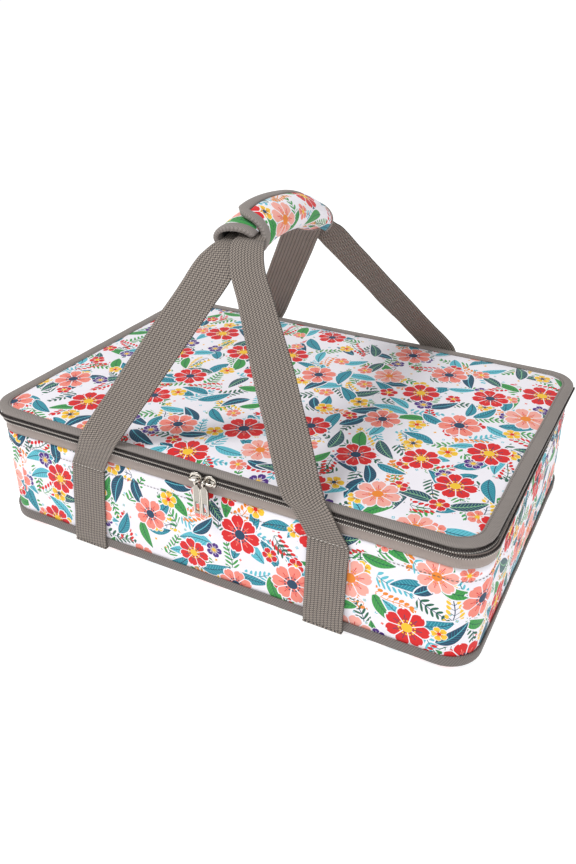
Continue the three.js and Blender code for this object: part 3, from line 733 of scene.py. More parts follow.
ink = print_layer(
    floral, place, ink, 50.0, 0.62, 21.0, 0.3, 0.93, bloom,
    lambda cell: {"Radius": cell["Size"] * 4.0 + 13.5, "Petals": 7.0, "Depth": 0.34, "Heart Size": 0.25},
    [RED, CORAL, RED, PINK, RED], [NAVY, RED, NAVY, RED, CORAL],
    [YELLOW, NAVY, YELLOW, ORANGE, NAVY],
)
connect(floral, ink, out.inputs["Colour"])
print("floral print:", len(floral.nodes), "nodes")

# %% [markdown]
# Cloth is seldom one flat colour. Three small groups make the weaves: a plain fine weave
# for the cotton, slanted ribs for the twill binding, and the ribbed weave of webbing. They
# put out a height for the bump and a mask of painted light: painted shade in the gaps between
# the threads and, on the twill and the webbing, a painted highlight on the raised threads.

# %% Weaves
WEAVE_OUT = {"Height": "value", "Gap": "value"}
plain, given, out = new_group(
    "plain_weave", {"Place": ("vector", (0, 0, 0)), "Pitch": ("value", 0.5)}, WEAVE_OUT,
)
x, y, _ = split_vector(plain, given["Place"])
warp = (x / given["Pitch"] * math.pi).math("SINE")
weft = (y / given["Pitch"] * math.pi).math("SINE")
height = abs(warp * weft)
connect(plain, height, out.inputs["Height"])
connect(plain, height < 0.15, out.inputs["Gap"])

twill, given, out = new_group(
    "twill_weave", {"Place": ("vector", (0, 0, 0)), "Pitch": ("value", 1.0)}, WEAVE_OUT,
)
x, y, _ = split_vector(twill, given["Place"])
slant = (x + y * 0.5) / given["Pitch"]
threads = (slant * math.pi).math("SINE") * (y / given["Pitch"] * (1.1 * math.pi)).math("SINE")
# The gap mask is painted shade in the hollows and, below zero, a painted highlight on the raised
# threads.
hollow = (threads * -1.0).math("MAXIMUM", 0.0)
raised = threads.math("MAXIMUM", 0.0)
connect(twill, threads * 0.5 + 0.5, out.inputs["Height"])
connect(twill, hollow - raised * 0.5, out.inputs["Gap"])

strap_weave, given, out = new_group(
    "strap_weave",
    {"Place": ("vector", (0, 0, 0)), "Rib": ("value", 2.91), "Row": ("value", 1.8)}, WEAVE_OUT,
)
x, y, _ = split_vector(strap_weave, given["Place"])
ribs = x / given["Rib"] * (2 * math.pi)
columns = ribs.math("SINE")
rows = ((y + x * 0.12) / given["Row"] * (2 * math.pi)).math("SINE")
knots = columns * rows
between = ribs.math("COSINE").math("MAXIMUM", 0.0) ** 3.0
connect(strap_weave, knots * 0.4 - between * 0.3 + 0.6, out.inputs["Height"])
# Painted shade in the grooves and gaps, and a painted highlight on the knots.
shadow = (knots * -1.0).math("MAXIMUM", 0.0) + between * 0.75
connect(strap_weave, shadow - knots.math("MAXIMUM", 0.0), out.inputs["Gap"])
print("weaves:", plain.name, twill.name, strap_weave.name)

# %% The tone of a cloth
tone, given, out = new_group(
    "cloth_tone",
    {
        "Colour": ("colour", (0.5, 0.5, 0.5, 1)), "Place": ("vector", (0, 0, 0)),
        "Gap": ("value", 0.0), "Depth": ("value", 0.5), "Patches": ("value", 0.08),
    },
    {"Colour": "colour", "Roughness": "value"},
)
patch = noise_value(tone, given["Place"], 0.035, 3.0)
fleck = noise_value(tone, given["Place"], 1.7, 1.0)
change = (patch - 0.5) * given["Patches"] * 2.0 + (fleck - 0.5) * given["Patches"]
# Painted light: the gap mask darkens the colour as painted shade and, where it is below zero, lightens
# it as a painted highlight. The patches are random tone.
dark = (given["Gap"] * given["Depth"]).minus_from(1.0) * (change + 1.0)
shaded = tone.nodes.new("ShaderNodeVectorMath")
shaded.operation = "SCALE"
connect(tone, given["Colour"], shaded.inputs[0])
connect(tone, dark, shaded.inputs["Scale"])
connect(tone, Wire(tone, shaded.outputs[0]), out.inputs["Colour"])
connect(tone, (patch - 0.5) * 0.2 + 0.78, out.inputs["Roughness"])
print("tone:", len(tone.nodes), "nodes")

# %% [markdown]
# A cloth finish joins the groups: the weave gives threads, the print gives a colour where
# there is one, and the tone group paints shade into the gaps between the threads. All of it
# follows the piece's UV map, so a weave bends with its cloth. Every cloth is one call with
# its own measures.

# %% A finish made of cloth
def cloth_finish(name, colour, weave, settings, depth, bump, gap_shade, patches, sheen=0.1,
                 picture=None):
    """A material on the piece's UV map, which is in metres. The sums use millimetres."""
    material = bpy.data.materials.new(name)
    material.use_nodes = True
    tree = material.node_tree
    shader = tree.nodes["Principled BSDF"]
    shader.inputs["Sheen Weight"].default_value = sheen
    shader.inputs["Sheen Roughness"].default_value = 0.5
    source = tree.nodes.new("ShaderNodeUVMap")
    source.uv_map = "UVMap"
    scaled = tree.nodes.new("ShaderNodeVectorMath")
    scaled.operation = "SCALE"
    scaled.inputs["Scale"].default_value = 1 / MM
    tree.links.new(source.outputs[0], scaled.inputs[0])
    place = Wire(tree, scaled.outputs[0])
    threads = place_group(tree, weave, {"Place": place, **settings})
    base = (*colour, 1)
    if picture:
        base = place_group(tree, picture, {"Place": place})["Colour"]
    toned = place_group(tree, tone, {
        "Colour": base, "Place": place, "Gap": threads["Gap"], "Depth": gap_shade,
        "Patches": patches,
    })
    connect(tree, toned["Colour"], shader.inputs["Base Color"])
    connect(tree, toned["Roughness"], shader.inputs["Roughness"])
    relief = tree.nodes.new("ShaderNodeBump")
    relief.inputs["Strength"].default_value = bump
    relief.inputs["Distance"].default_value = depth * MM
    folds = noise_value(tree, place, 0.12, 2.0)
    connect(tree, threads["Height"] + folds * 1.5, relief.inputs["Height"])
    tree.links.new(relief.outputs[0], shader.inputs["Normal"])
    return material


# %% The cloths of the carrier
COTTON = cloth_finish(
    "printed_cotton", (1, 1, 1), plain, {"Pitch": 0.6}, depth=0.08, bump=0.35, gap_shade=0.05,
    patches=0.015, sheen=0.15, picture=floral,
)
TWILL = cloth_finish(
    "grey_twill", shade(142, 134, 129), twill, {"Pitch": 0.8}, depth=0.2, bump=0.3,
    gap_shade=0.55, patches=0.12,
)
# The twill of the bottom binding is a darker copy, as painted shade on the binding that faces down.
TWILL_IN_SHADE = cloth_finish(
    "grey_twill_foot", shade(118, 110, 106), twill, {"Pitch": 0.95}, depth=0.2, bump=0.4,
    gap_shade=0.7, patches=0.12,
)
WEBBING = cloth_finish(
    "grey_webbing", shade(134, 124, 116), strap_weave, {}, depth=0.5, bump=0.8,
    gap_shade=0.85, patches=0.1,
)
TAPE = cloth_finish(
    "zip_tape_cloth", shade(170, 156, 149), plain, {"Pitch": 0.9}, depth=0.2, bump=0.6,
    gap_shade=0.3, patches=0.06,
)
LINING = cloth_finish(
    "grey_lining", shade(176, 178, 182), plain, {"Pitch": 0.7}, depth=0.12, bump=0.5,
    gap_shade=0.2, patches=0.05,
)
BLACK_TAPE = cloth_finish(
    "hook_tape_cloth", shade(38, 36, 36), plain, {"Pitch": 0.8}, depth=0.5, bump=1,
    gap_shade=0.6, patches=0.2,
)
print(len(bpy.data.materials), "materials so far")

# %% [markdown]
# Nylon, foam, board and thread have no weave, only a grain. One group makes it from a fine
# and a broad noise on the piece's own coordinates. The zip's metal is another matter: painted
# shade in its hollows and painted highlights on its rims are part of its colour, so each
# point says by itself how bright it is.

# %% Finishes that aren't cloth
grain, given, out = new_group(
    "solid_grain",
    {
        "Place": ("vector", (0, 0, 0)), "Fineness": ("value", 1000.0),
        "Dark": ("colour", (0.4, 0.4, 0.4, 1)), "Bright": ("colour", (0.5, 0.5, 0.5, 1)),
        "Roughness": ("value", 0.6),
    },
    {"Colour": "colour", "Roughness": "value", "Height": "value"},
)
fine = noise_value(grain, given["Place"], given["Fineness"], 4.0, 0.6)
broad = noise_value(grain, given["Place"], given["Fineness"] * 0.12, 2.0)
mixed = blend_colours(grain, fine * 0.6 + broad * 0.4, given["Dark"], given["Bright"])
connect(grain, mixed, out.inputs["Colour"])
connect(grain, (fine - 0.5) * 0.25 + given["Roughness"], out.inputs["Roughness"])
connect(grain, fine, out.inputs["Height"])
print("grain:", len(grain.nodes), "nodes")

# %% A finish with a grain
GRAIN_DEPTH = 0.2 * MM


def solid_finish(name, colour, roughness, fineness, speckle, bump, sheen=0.0):
    material = bpy.data.materials.new(name)
    material.use_nodes = True
    tree = material.node_tree
    shader = tree.nodes["Principled BSDF"]
    shader.inputs["Sheen Weight"].default_value = sheen
    source = tree.nodes.new("ShaderNodeTexCoord")
    darker = tuple(c * (1 - speckle) for c in colour)
    speckled = place_group(tree, grain, {
        "Place": Wire(tree, source.outputs["Object"]), "Fineness": fineness,
        "Dark": (*darker, 1), "Bright": (*colour, 1), "Roughness": roughness,
    })
    connect(tree, speckled["Colour"], shader.inputs["Base Color"])
    connect(tree, speckled["Roughness"], shader.inputs["Roughness"])
    relief = tree.nodes.new("ShaderNodeBump")
    relief.inputs["Strength"].default_value = bump
    relief.inputs["Distance"].default_value = GRAIN_DEPTH
    connect(tree, speckled["Height"], relief.inputs["Height"])
    tree.links.new(relief.outputs[0], shader.inputs["Normal"])
    return material


# %% Metal with painted light
def painted_light_metal(name, dark, bright, roughness):
    """Metal with painted shade in its hollows and painted highlights on its rims.
    The UV map's first number says how bright a place is.
    """
    material = bpy.data.materials.new(name)
    material.use_nodes = True
    tree = material.node_tree
    shader = tree.nodes["Principled BSDF"]
    shader.inputs["Metallic"].default_value = 1.0
    source = tree.nodes.new("ShaderNodeUVMap")
    source.uv_map = "UVMap"
    light_share, _, _ = split_vector(tree, Wire(tree, source.outputs[0]))
    spots = tree.nodes.new("ShaderNodeTexCoord")
    fine = noise_value(tree, Wire(tree, spots.outputs["Object"]), 900, 3.0)
    share = (light_share + (fine - 0.5) * 0.2).math("MAXIMUM", 0.0).math("MINIMUM", 1.0)
    connect(tree, blend_colours(tree, share, (*dark, 1), (*bright, 1)), shader.inputs["Base Color"])
    connect(tree, (fine - 0.5) * 0.15 + roughness, shader.inputs["Roughness"])
    return material


# %% The solid finishes of the carrier
# The dark colour is painted shade, the bright one a painted highlight.
NICKEL = painted_light_metal(
    "zip_nickel", dark=(0.012, 0.009, 0.007), bright=(0.86, 0.8, 0.72), roughness=0.2,
)
COIL = solid_finish("zip_nylon", shade(46, 38, 36), 0.45, fineness=1500, speckle=0.25, bump=0.2)
FOAM = solid_finish("white_foam", shade(236, 236, 232), 0.9, fineness=1800, speckle=0.12, bump=0.6)
BOARD = solid_finish("stiff_board", shade(52, 50, 50), 0.6, fineness=700, speckle=0.2, bump=0.3)
THREAD = solid_finish(
    "grey_thread", shade(120, 112, 108), 0.6, fineness=2500, speckle=0.3, bump=0.3, sheen=0.2,
)
PALE_THREAD = solid_finish(
    "pale_thread", shade(232, 224, 216), 0.6, fineness=2500, speckle=0.25, bump=0.3, sheen=0.2,
)
print(len(bpy.data.materials), "materials")

# %% [markdown]
# Every seam has its row of stitches. A stitch is a small lump of thread, longer than it is
# wide, so a row is one rounded shape repeated along a path.

# %% A row of stitches
STITCH_PITCH = 3.1 * MM


def stitch_row(name, body, spots, size, material, slot_name="grey_twill"):
    """spots gives a place, the way along the row and the way out of the cloth."""
    bm = bmesh.new()
    for place, along, out in spots:
        up = out.cross(along)
        turn = Matrix((along, out, up)).transposed().to_4x4()
        shape = Matrix.Translation(place) @ turn @ Matrix.Diagonal((*(s * MM for s in size), 1))
        bmesh.ops.create_icosphere(bm, subdivisions=1, radius=0.5, matrix=shape)
    bmesh.ops.recalc_face_normals(bm, faces=bm.faces)
    return dress(finish_mesh(name, bm), body, slot_name, material)


def seam_spots(offset, height, pitch, keep=lambda flat: True, follow=False, stray=None):
    """Even places all the way round the box, at one offset and one height."""
    count = int(PERIMETER / pitch)
    for index in range(count):
        core, out = outline_at(PERIMETER * index / count)
        extra = wall_bulge(height, side_swell(core, out)) if follow else 0
        if stray:
            extra += stray(flat_place(core, out), offset)
        flat = core + out * (CORNER + offset + extra)
        if keep(flat):
            place = Vector((flat.x + drift_at(height, flat.y), flat.y, height))
            yield place, Vector((-out.y, out.x, 0)), Vector((out.x, out.y, 0))


# %% [markdown]
# The wall of the tub is one printed band with foam behind it. The foam makes it swell a
# little in the middle of each side, and the row of stitches near the top pulls it in.

# %% The printed walls
WALL_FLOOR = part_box("side_band")[0][2]
CLOTH = 0.8 * MM
STITCH_HEIGHT = 77 * MM
WALL_STEP, SEAM_STEP = 5 * MM, 1.6 * MM
SEAM_DEPTH, SEAM_WIDTH = 0.75 * MM, 1.5 * MM
ROLL_HEIGHT, ROLL_WIDTH = 0.35 * MM, 9 * MM


def wall_levels():
    """Even heights up the wall, and closer ones at the stitches."""
    levels = [WALL_FLOOR]
    while levels[-1] < STITCH_HEIGHT - WALL_STEP:
        levels.append(levels[-1] + WALL_STEP)
    levels += [STITCH_HEIGHT - SEAM_STEP, STITCH_HEIGHT, STITCH_HEIGHT + SEAM_STEP]
    return levels + [STITCH_HEIGHT + WALL_STEP, WALL_TOP]


def wall_offset(level):
    """The stitch row pulls the cloth in and leaves a soft roll above and below."""
    pull = math.exp(-((level - STITCH_HEIGHT) / SEAM_WIDTH) ** 2)
    roll = math.exp(-((level - STITCH_HEIGHT) / ROLL_WIDTH) ** 2)
    return ROLL_HEIGHT * roll - SEAM_DEPTH * pull


outer = [(wall_offset(level), level) for level in wall_levels()]
inner = [(-CLOTH + min(offset, 0), level) for offset, level in reversed(outer)]
side_band = sweep_outline("side_band_cloth", outer + inner, follow=True, cuts=FINE_CUTS, wobble=0.5 * MM)
dress(side_band, "tub", "print_fabric", COTTON, "side_band", padding=0.85)
stitch_row(
    "wall_top_stitches", "tub", seam_spots(0.15 * MM, STITCH_HEIGHT, STITCH_PITCH, follow=True),
    (2.5, 0.7, 0.5), THREAD,
)

# %% [markdown]
# Where the wall meets the base, a strip of twill is folded over the raw edges and sewn down.
# It is a flat band with soft edges, swept round the box, and a row of stitches near its top.

# %% The binding round the bottom edge
low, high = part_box("bottom_binding")
foot = rounded_profile(inner=0.25 * MM, outer=1.8 * MM, low=low[2], high=high[2], radius=0.7 * MM)
bottom_binding = sweep_outline(
    "bottom_binding_tape", foot, follow=True, cuts=FINE_CUTS, wobble=0.3 * MM,
)
dress(bottom_binding, "tub", "grey_twill", TWILL_IN_SHADE, "bottom_binding")
stitch_row(
    "bottom_binding_stitches", "tub",
    seam_spots(1.75 * MM, high[2] - 1.5 * MM, STITCH_PITCH, follow=True), (2.2, 0.5, 0.5), THREAD,
)

# %% [markdown]
# The zip runs round the front and both ends. Each half is a woven tape with a nylon coil
# sewn along its edge. The coil is one tooth repeated, so a tooth is a block with soft edges.

# %% The zip tapes
ZIP_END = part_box("zip_tape_lower")[1][1]
TAPE_OUT, TAPE_IN = 0.7 * MM, -0.05 * MM
TAPE_ROWS = 5


def zip_tape(name, node, body, finish, slot_name, inset):
    """A tape between its two seams. Its middle lies a little further in than its edges."""
    low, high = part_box(node)
    outer, inner = [], []
    for row in range(TAPE_ROWS + 1):
        share = row / TAPE_ROWS
        level, sag = mix(low[2], high[2], share), inset * math.sin(math.pi * share)
        outer.append((TAPE_OUT - sag, level))
        inner.append((TAPE_IN - sag, level))
    tape = sweep_outline(
        name, outer + inner[::-1], cuts=FINE_CUTS, keep_front_of=ZIP_END, wobble=0.25 * MM,
    )
    return dress(tape, body, slot_name, finish, node)


zip_tape("zip_tape_lower_cloth", "zip_tape_lower", "tub", TAPE, "zip_tape", 0.5 * MM)
zip_tape("zip_tape_upper_cloth", "zip_tape_upper", "lid", TWILL, "grey_twill", 0.2 * MM)

# %% The two coils
TOOTH_PITCH = 1.62 * MM
TOOTH_EDGE = 0.25 * MM
COIL_OUT, CORD_OUT = 1.9 * MM, 1.1 * MM
COIL_SHORT = 1 * MM


def outline_walk(offset, step, limit):
    """Places and ways out along the front and ends, from the right back corner round."""
    straight_y = limit + CORE_Y
    total = 2 * straight_y + math.pi * CORNER + 2 * CORE_X
    count = int(total / step)
    for index in range(count + 1):
        s = total * index / count
        side = -1 if s > total / 2 else 1
        half = total - s if s > total / 2 else s
        if half < straight_y:
            core, turn = Vector((CORE_X, limit - half)), 0
        elif half < straight_y + QUARTER * CORNER:
            core, turn = Vector((CORE_X, -CORE_Y)), (half - straight_y) / CORNER
        else:
            past = half - straight_y - QUARTER * CORNER
            core, turn = Vector((CORE_X - past, -CORE_Y)), QUARTER
        out = Vector((math.cos(turn), -math.sin(turn)))
        flat = core + out * (CORNER + offset)
        yield Vector((flat.x * side, flat.y, 0)), Vector((out.x * side, out.y, 0))


# %% A row of teeth
def zip_row(name, body, offset, levels, size, lean, finish):
    """One small block with soft edges for each tooth, between two heights."""
    low, high = levels
    bm = bmesh.new()
    for place, out in outline_walk(offset, TOOTH_PITCH, ZIP_END - COIL_SHORT):
        along = Vector((-out.y, out.x, 0))
        turn = Matrix((along, out, Vector((0, 0, 1)))).transposed().to_4x4()
        middle = (low + high) / 2
        shape = (
            Matrix.Translation((place.x + drift_at(middle, place.y), place.y, middle)) @ turn
            @ Matrix.Rotation(lean, 4, "Y")
            @ Matrix.Diagonal((size[0] * MM, size[1] * MM, high - low, 1))
        )
        bmesh.ops.create_cube(bm, size=1, matrix=shape)
    bmesh.ops.bevel(
        bm, geom=bm.edges[:], offset=TOOTH_EDGE, segments=1, profile=0.5, affect="EDGES", material=-1,
    )
    bmesh.ops.recalc_face_normals(bm, faces=bm.faces)
    return dress(finish_mesh(name, bm), body, "zip_coil", finish)


# %% Teeth, thread and cord of both halves
for name, body, lean in (("zip_coil_lower", "tub", 0.3), ("zip_coil_upper", "lid", -0.3)):
    low, high = (corner[2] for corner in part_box(name))
    teeth_levels = (low + 0.9 * MM, high)
    thread_levels = (low - 0.15 * MM, low + 0.95 * MM)
    cord_levels = (low - 0.85 * MM, low - 0.25 * MM)
    teeth = zip_row(f"{name}_teeth", body, COIL_OUT, teeth_levels, (1.05, 1.5), lean, COIL)
    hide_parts(name)
    zip_row(f"{name}_thread", body, COIL_OUT, thread_levels, (0.85, 1.3), lean, PALE_THREAD)
    if body == "tub":
        zip_row(f"{name}_cord", body, CORD_OUT, cord_levels, (1.7, 0.8), 0, COIL)

# %% [markdown]
# The lid is a flat padded panel. Its cloth swells between the bindings and sinks at the
# edge, where the binding is sewn down on it.

# %% The printed lid
BINDING_REACH = 6 * MM


def inside_outline(u, v):
    """A place on the box's top. What would lie past a round corner is drawn in onto it."""
    x, y = mix(-HALF_X, HALF_X, u), mix(-HALF_Y, HALF_Y, v)
    core, out = outline_parts(x, y)
    if (Vector((x, y)) - core).length > CORNER:
        x, y = core + out * CORNER
    return x, y


def lid_rise(x, y):
    """The cloth swells from the binding on, most in the middle, and never quite evenly."""
    core, _ = outline_parts(x, y)
    edge = min(CORNER - (Vector((x, y)) - core).length, HALF_X - abs(x), HALF_Y - abs(y))
    swell = smoothstep(BINDING_REACH - 2 * MM, BINDING_REACH + 9 * MM, edge)
    broad = max(1 - (x / HALF_X) ** 2, 0) * max(1 - (y / HALF_Y) ** 2, 0)
    soft = noise.noise(Vector((x, y, 0.2)) * 14) + 0.4 * noise.noise(Vector((x, y, 0.7)) * 40)
    return swell * (1.5 + 1.0 * broad + 0.7 * soft) * MM


def lid_place(u, v, w):
    x, y = inside_outline(u, v)
    return Vector((x + drift_at(LID_TOP, y), y, LID_TOP - CLOTH * (1 - w) + w * lid_rise(x, y)))


lid_cloth = cloth_slab("lid_panel_cloth", 84, 57, lid_place, 2 * HALF_X, 2 * HALF_Y, (0.9, 0.4))
dress(lid_cloth, "lid", "print_fabric", COTTON, "lid_panel", padding=0.8)

# %% [markdown]
# The lid's edge is covered by a wide strip of twill. It lies on the print, runs out over the
# foam in a soft roll and turns under. Its profile is drawn once and swept round the box.

# %% The binding round the lid
UNDER = LID_TOP + 0.3 * MM


def rim_profile():
    """Down from the inner edge's stitches, over the soft flange, and back underneath."""
    points = [(-6.0, 0.0), (-6.15, 0.7), (-5.7, 1.2), (-5.2, 1.15), (-4.85, 0.85), (-4.5, 1.15)]
    points += [(-3.4, 1.55), (-1.6, 1.7), (0.0, 1.65)]
    for i in range(7):
        turn = QUARTER - math.pi * i / 6
        points.append((0.45 + 1.65 * math.cos(turn), -0.4 + 2.0 * math.sin(turn)))
    points += [(0.36, -2.2), (0.32, -0.2), (-3.0, 0.0)]
    return [(x * MM, UNDER + z * MM) for x, z in points]


def rim_stray(flat, offset):
    """The tape was sewn on by hand and eye: its inner edge wanders, and is wider at the ends."""
    share = min(max(-offset / BINDING_REACH, 0), 1)
    wide = mix(-1.3, 1.6, smoothstep(0.6, 1.0, abs(flat.x) / HALF_X)) * MM
    return -share * (wide + 0.6 * MM * noise.noise(Vector((flat.x, flat.y, 0)) * 16))


top_binding = sweep_outline(
    "top_binding_tape", rim_profile(), cuts=(70, 46), corner_steps=14, wobble=0.3 * MM,
    stray=rim_stray,
)
dress(top_binding, "lid", "grey_twill", TWILL, "top_binding")
stitch_row(
    "top_binding_stitches", "lid",
    seam_spots(-4.85 * MM, UNDER + 1.0 * MM, 2.9 * MM, stray=rim_stray), (1.9, 0.6, 0.6), THREAD,
)

# %% [markdown]
# The webbing is two flat straps. Each runs under the base, up both long sides, over the
# rim and into the wrap. A strap is a flat ring of points drawn along a route, with eleven
# ribs woven lengthwise, so the ring carries a small wave across its face.

# %% A ring drawn along a route
def sweep_ring(name, count, rows, place, uv_at):
    """Extrudes a ring of points row by row. place(row, column) and uv_at(row, column)."""
    bm = bmesh.new()
    uv = bm.loops.layers.uv.new("UVMap")
    tag = bm.verts.layers.int.new("column")
    line = bm.verts.layers.int.new("row")
    ring = bmesh.ops.create_circle(bm, segments=count, radius=1)["verts"]
    for column, vert in enumerate(ring):
        vert[tag] = column
        vert.co = place(0, column)
    first = current = bm.edges[:]
    for row in range(1, rows):
        grown = bmesh.ops.extrude_edge_only(bm, edges=current)["geom"]
        for vert in grown:
            if isinstance(vert, bmesh.types.BMVert):
                vert[line] = row
                vert.co = place(row, vert[tag])
        current = [g for g in grown if isinstance(g, bmesh.types.BMEdge)]
        current = [e for e in current if e.verts[0][line] == e.verts[1][line] == row]
    for face in bm.faces:
        wraps = max(l.vert[tag] for l in face.loops) == count - 1
        for loop in face.loops:
            column = loop.vert[tag]
            if wraps and column == 0:
                column = count
            loop[uv].uv = uv_at(loop.vert[line], column)
    bmesh.ops.holes_fill(bm, edges=first + current, sides=0)
    bmesh.ops.recalc_face_normals(bm, faces=bm.faces)
    return finish_mesh(name, bm)


# %% [markdown]
# A strap's route is known at a few points only. A spline joins them, and it is measured in
# many small steps, so that rows of points can be laid at even distances along it. The spline
# weighs its points by their distance, which keeps it from looping where two lie close.

# %% Routes with even steps
class Route:
    """A smooth curve through points, walked by share of its length."""

    def __init__(self, points, dense=900):
        self.line = [self.spline(points, i / dense) for i in range(dense + 1)]
        self.runs = [0]
        for before, after in zip(self.line, self.line[1:]):
            self.runs.append(self.runs[-1] + (after - before).length)
        self.length = self.runs[-1]

    @staticmethod
    def spline(points, share):
        last = len(points) - 1
        index = min(int(share * last), last - 1)
        t = share * last - index
        p1, p2 = points[index], points[index + 1]
        p0 = points[index - 1] if index else p1 * 2 - p2
        p3 = points[index + 2] if index + 2 <= last else p2 * 2 - p1
        d0, d1, d2 = (p1 - p0).length ** 0.5, (p2 - p1).length ** 0.5, (p3 - p2).length ** 0.5
        t1 = ((p1 - p0) / d0 - (p2 - p0) / (d0 + d1) + (p2 - p1) / d1) * d1
        t2 = ((p2 - p1) / d1 - (p3 - p1) / (d1 + d2) + (p3 - p2) / d2) * d1
        rise = (p2 - p1) * 3 - t1 * 2 - t2
        twist = (p1 - p2) * 2 + t1 + t2
        return p1 + t1 * t + rise * t * t + twist * t * t * t

    def at(self, share):
        goal = min(max(share, 0), 1) * self.length
        low, high = 0, len(self.runs) - 1
        while high - low > 1:
            middle = (low + high) // 2
            if self.runs[middle] > goal:
                high = middle
            else:
                low = middle
        part = (goal - self.runs[low]) / max(self.runs[high] - self.runs[low], 1e-12)
        return self.line[low].lerp(self.line[high], part)

    def along(self, share):
        step = 0.002
        return (self.at(share + step) - self.at(share - step)).normalized()


# %% The shape of the webbing
STRAP_RIBS = 11
STRAP_THICK = 1.8 * MM
STRAP_WIDE, GRIP_WIDE = 32 * MM, 22 * MM
FACE_STEPS = 44
RING_POINTS = 2 * FACE_STEPS + 2
RIB_DEPTH_SHARE, THIN_FROM_SHARE, THIN_SHARE = 0.1, 0.94, 0.45
print("a strap has", RING_POINTS, "points round it")


def strap_corner(column):
    """Across from -0.5 to 0.5 and lift from -0.5 to 0.5 of a point of the strap's ring."""
    column %= RING_POINTS
    if column <= FACE_STEPS:
        across, side = column / FACE_STEPS - 0.5, 1
    else:
        across, side = 0.5 - (column - FACE_STEPS - 1) / FACE_STEPS, -1
    groove = 0.5 + 0.5 * math.cos(2 * math.pi * STRAP_RIBS * (across + 0.5))
    past = max(abs(across) * 2 - THIN_FROM_SHARE, 0) / (1 - THIN_FROM_SHARE)
    return across, side * (0.5 - RIB_DEPTH_SHARE * groove) * (1 - past * THIN_SHARE)


# %% A strap laid along its route
def lay_strap(name, route, width_at, square_at=lambda s: 0, rows=90, wave=0.0, start=0.0, end=1.0):
    """A strap along a route. Its face looks along the YZ plane, as folded webbing lies."""
    frames = []
    for row in range(rows):
        share = mix(start, end, row / (rows - 1))
        along = route.along(share)
        face = Vector((0, along.z, -along.y)).normalized()
        across = face.cross(along)
        across = (across * (1 if across.x > 0 else -1)).normalized()
        across = across.lerp(Vector((1, 0, 0)), square_at(row / (rows - 1))).normalized()
        frames.append((route.at(share), across, face, width_at(row / (rows - 1))))

    def place(row, column):
        point, across, face, width = frames[row]
        x, lift = strap_corner(column)
        sway = wave * noise.noise(Vector((x * 3, row * 0.12, len(name)))) if wave else 0
        return point + across * (x * width) + face * (lift * STRAP_THICK + sway)

    def uv_at(row, column):
        x = column / FACE_STEPS if column <= FACE_STEPS else 2 - (column - 1) / FACE_STEPS
        share = mix(start, end, row / (rows - 1))
        return (x * STRAP_WIDE, share * route.length)

    return sweep_ring(name, RING_POINTS, rows, place, uv_at)


# %% [markdown]
# Below its stitch row each strap lies on the wall. It comes out of the base, climbs over the
# bottom binding and, on the front, leans a little. Its route is a few places on the wall,
# which swells there too, so the strap follows the swell.

# %% The sewn runs and the runs under the base
def middle_x(node):
    low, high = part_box(node)
    return (low[0] + high[0]) / 2


STRAPS = {
    "left": (middle_x("left_base_strap"), 7.5 * MM),
    "right": (middle_x("right_base_strap"), 2.5 * MM),
}
STITCH_LINE = 78.5 * MM
BASE_LIFT = STRAP_THICK / 2


def wall_point(x, side, offset, height, lean=0):
    bulge = wall_bulge(height, side_swell(Vector((x, 0)), Vector((0, side))))
    return Vector((x + lean * height / STITCH_LINE, side * (HALF_Y + offset + bulge), height))


SEWN_RUN = (
    (3.0, 2.1), (3.0, 9.5), (3.0, 12.9), (1.9, 22), (1.2, 34), (1.2, 50), (1.2, 64), (1.2, 78.5),
)
for name, (x, front_lean) in STRAPS.items():
    for side, word, lean in ((-1, "front", front_lean), (1, "back", 0)):
        points = [wall_point(x, side, out * MM, z * MM, lean) for out, z in SEWN_RUN]
        sewn = lay_strap(
            f"{name}_{word}_sewn_webbing", Route(points), lambda s: STRAP_WIDE, lambda s: 1, 48,
            0.3 * MM,
        )
        dress(sewn, "tub", "webbing", WEBBING, f"{name}_{word}_sewn_strap")
    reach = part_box(f"{name}_base_strap")[1][1]
    points = [Vector((x, y, BASE_LIFT)) for y in (-reach, 0, reach)]
    under = lay_strap(f"{name}_base_webbing", Route(points), lambda s: STRAP_WIDE, rows=40)
    dress(under, "tub", "webbing", WEBBING, f"{name}_base_strap")

# %% [markdown]
# From the stitch row each strap is free. It leans out over the rim, and both straps run up
# to the middle, where the wrap holds them together. The wrap's own axis is a gentle arch.

# %% The arch of the wrap
ARCH_PLACES = ((-76, 257.5), (-40, 261.5), (6, 257), (34, 250.5), (62, 238.5))
ARCH_FRONT_X, ARCH_BACK_X = -7, -18


def arch_point(y, z):
    front, back = ARCH_PLACES[0][0], ARCH_PLACES[-1][0]
    return Vector((mix(ARCH_FRONT_X, ARCH_BACK_X, (y - front) / (back - front)), y, z)) * MM


ARCH = Route([arch_point(y, z) for y, z in ARCH_PLACES])
print("the arch is", round(ARCH.length / MM), "mm long")

# %% [markdown]
# No two legs hang alike, and that is what makes a soft handle look real. The right strap
# leaves the front mouth beside its middle, where the wrap is open. At the back the left one
# hangs outwards and the right one sags less. All four share one rule with these few offsets.
# The rule works in millimetres.

# %% The way of one leg from its stitches to the mouth of the wrap
RIM_LOW, RIM_HIGH = (corner[2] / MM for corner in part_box("top_binding"))
UNDER_RIM, OVER_RIM = RIM_LOW - STRAP_THICK / MM, RIM_HIGH + STRAP_THICK / MM
RIM_OUT = 4.5
SEWN_OUT = 1.5
LEG_START = 78.8
CUFF_REACH, CUFF_DROP, MOUTH_SHARE = 15, 13, 0.36
CUFF_SPREAD, CUFF_SHIFT = 6, 13
BACK_ASIDE, BACK_SWING, MOUTH_SWING_SHARE = -6.5, 4, 0.6
ASIDE_FROM, ASIDE_TO = 80, 108
print("the rim is", round(RIM_LOW, 1), "to", round(RIM_HIGH, 1), "mm high")


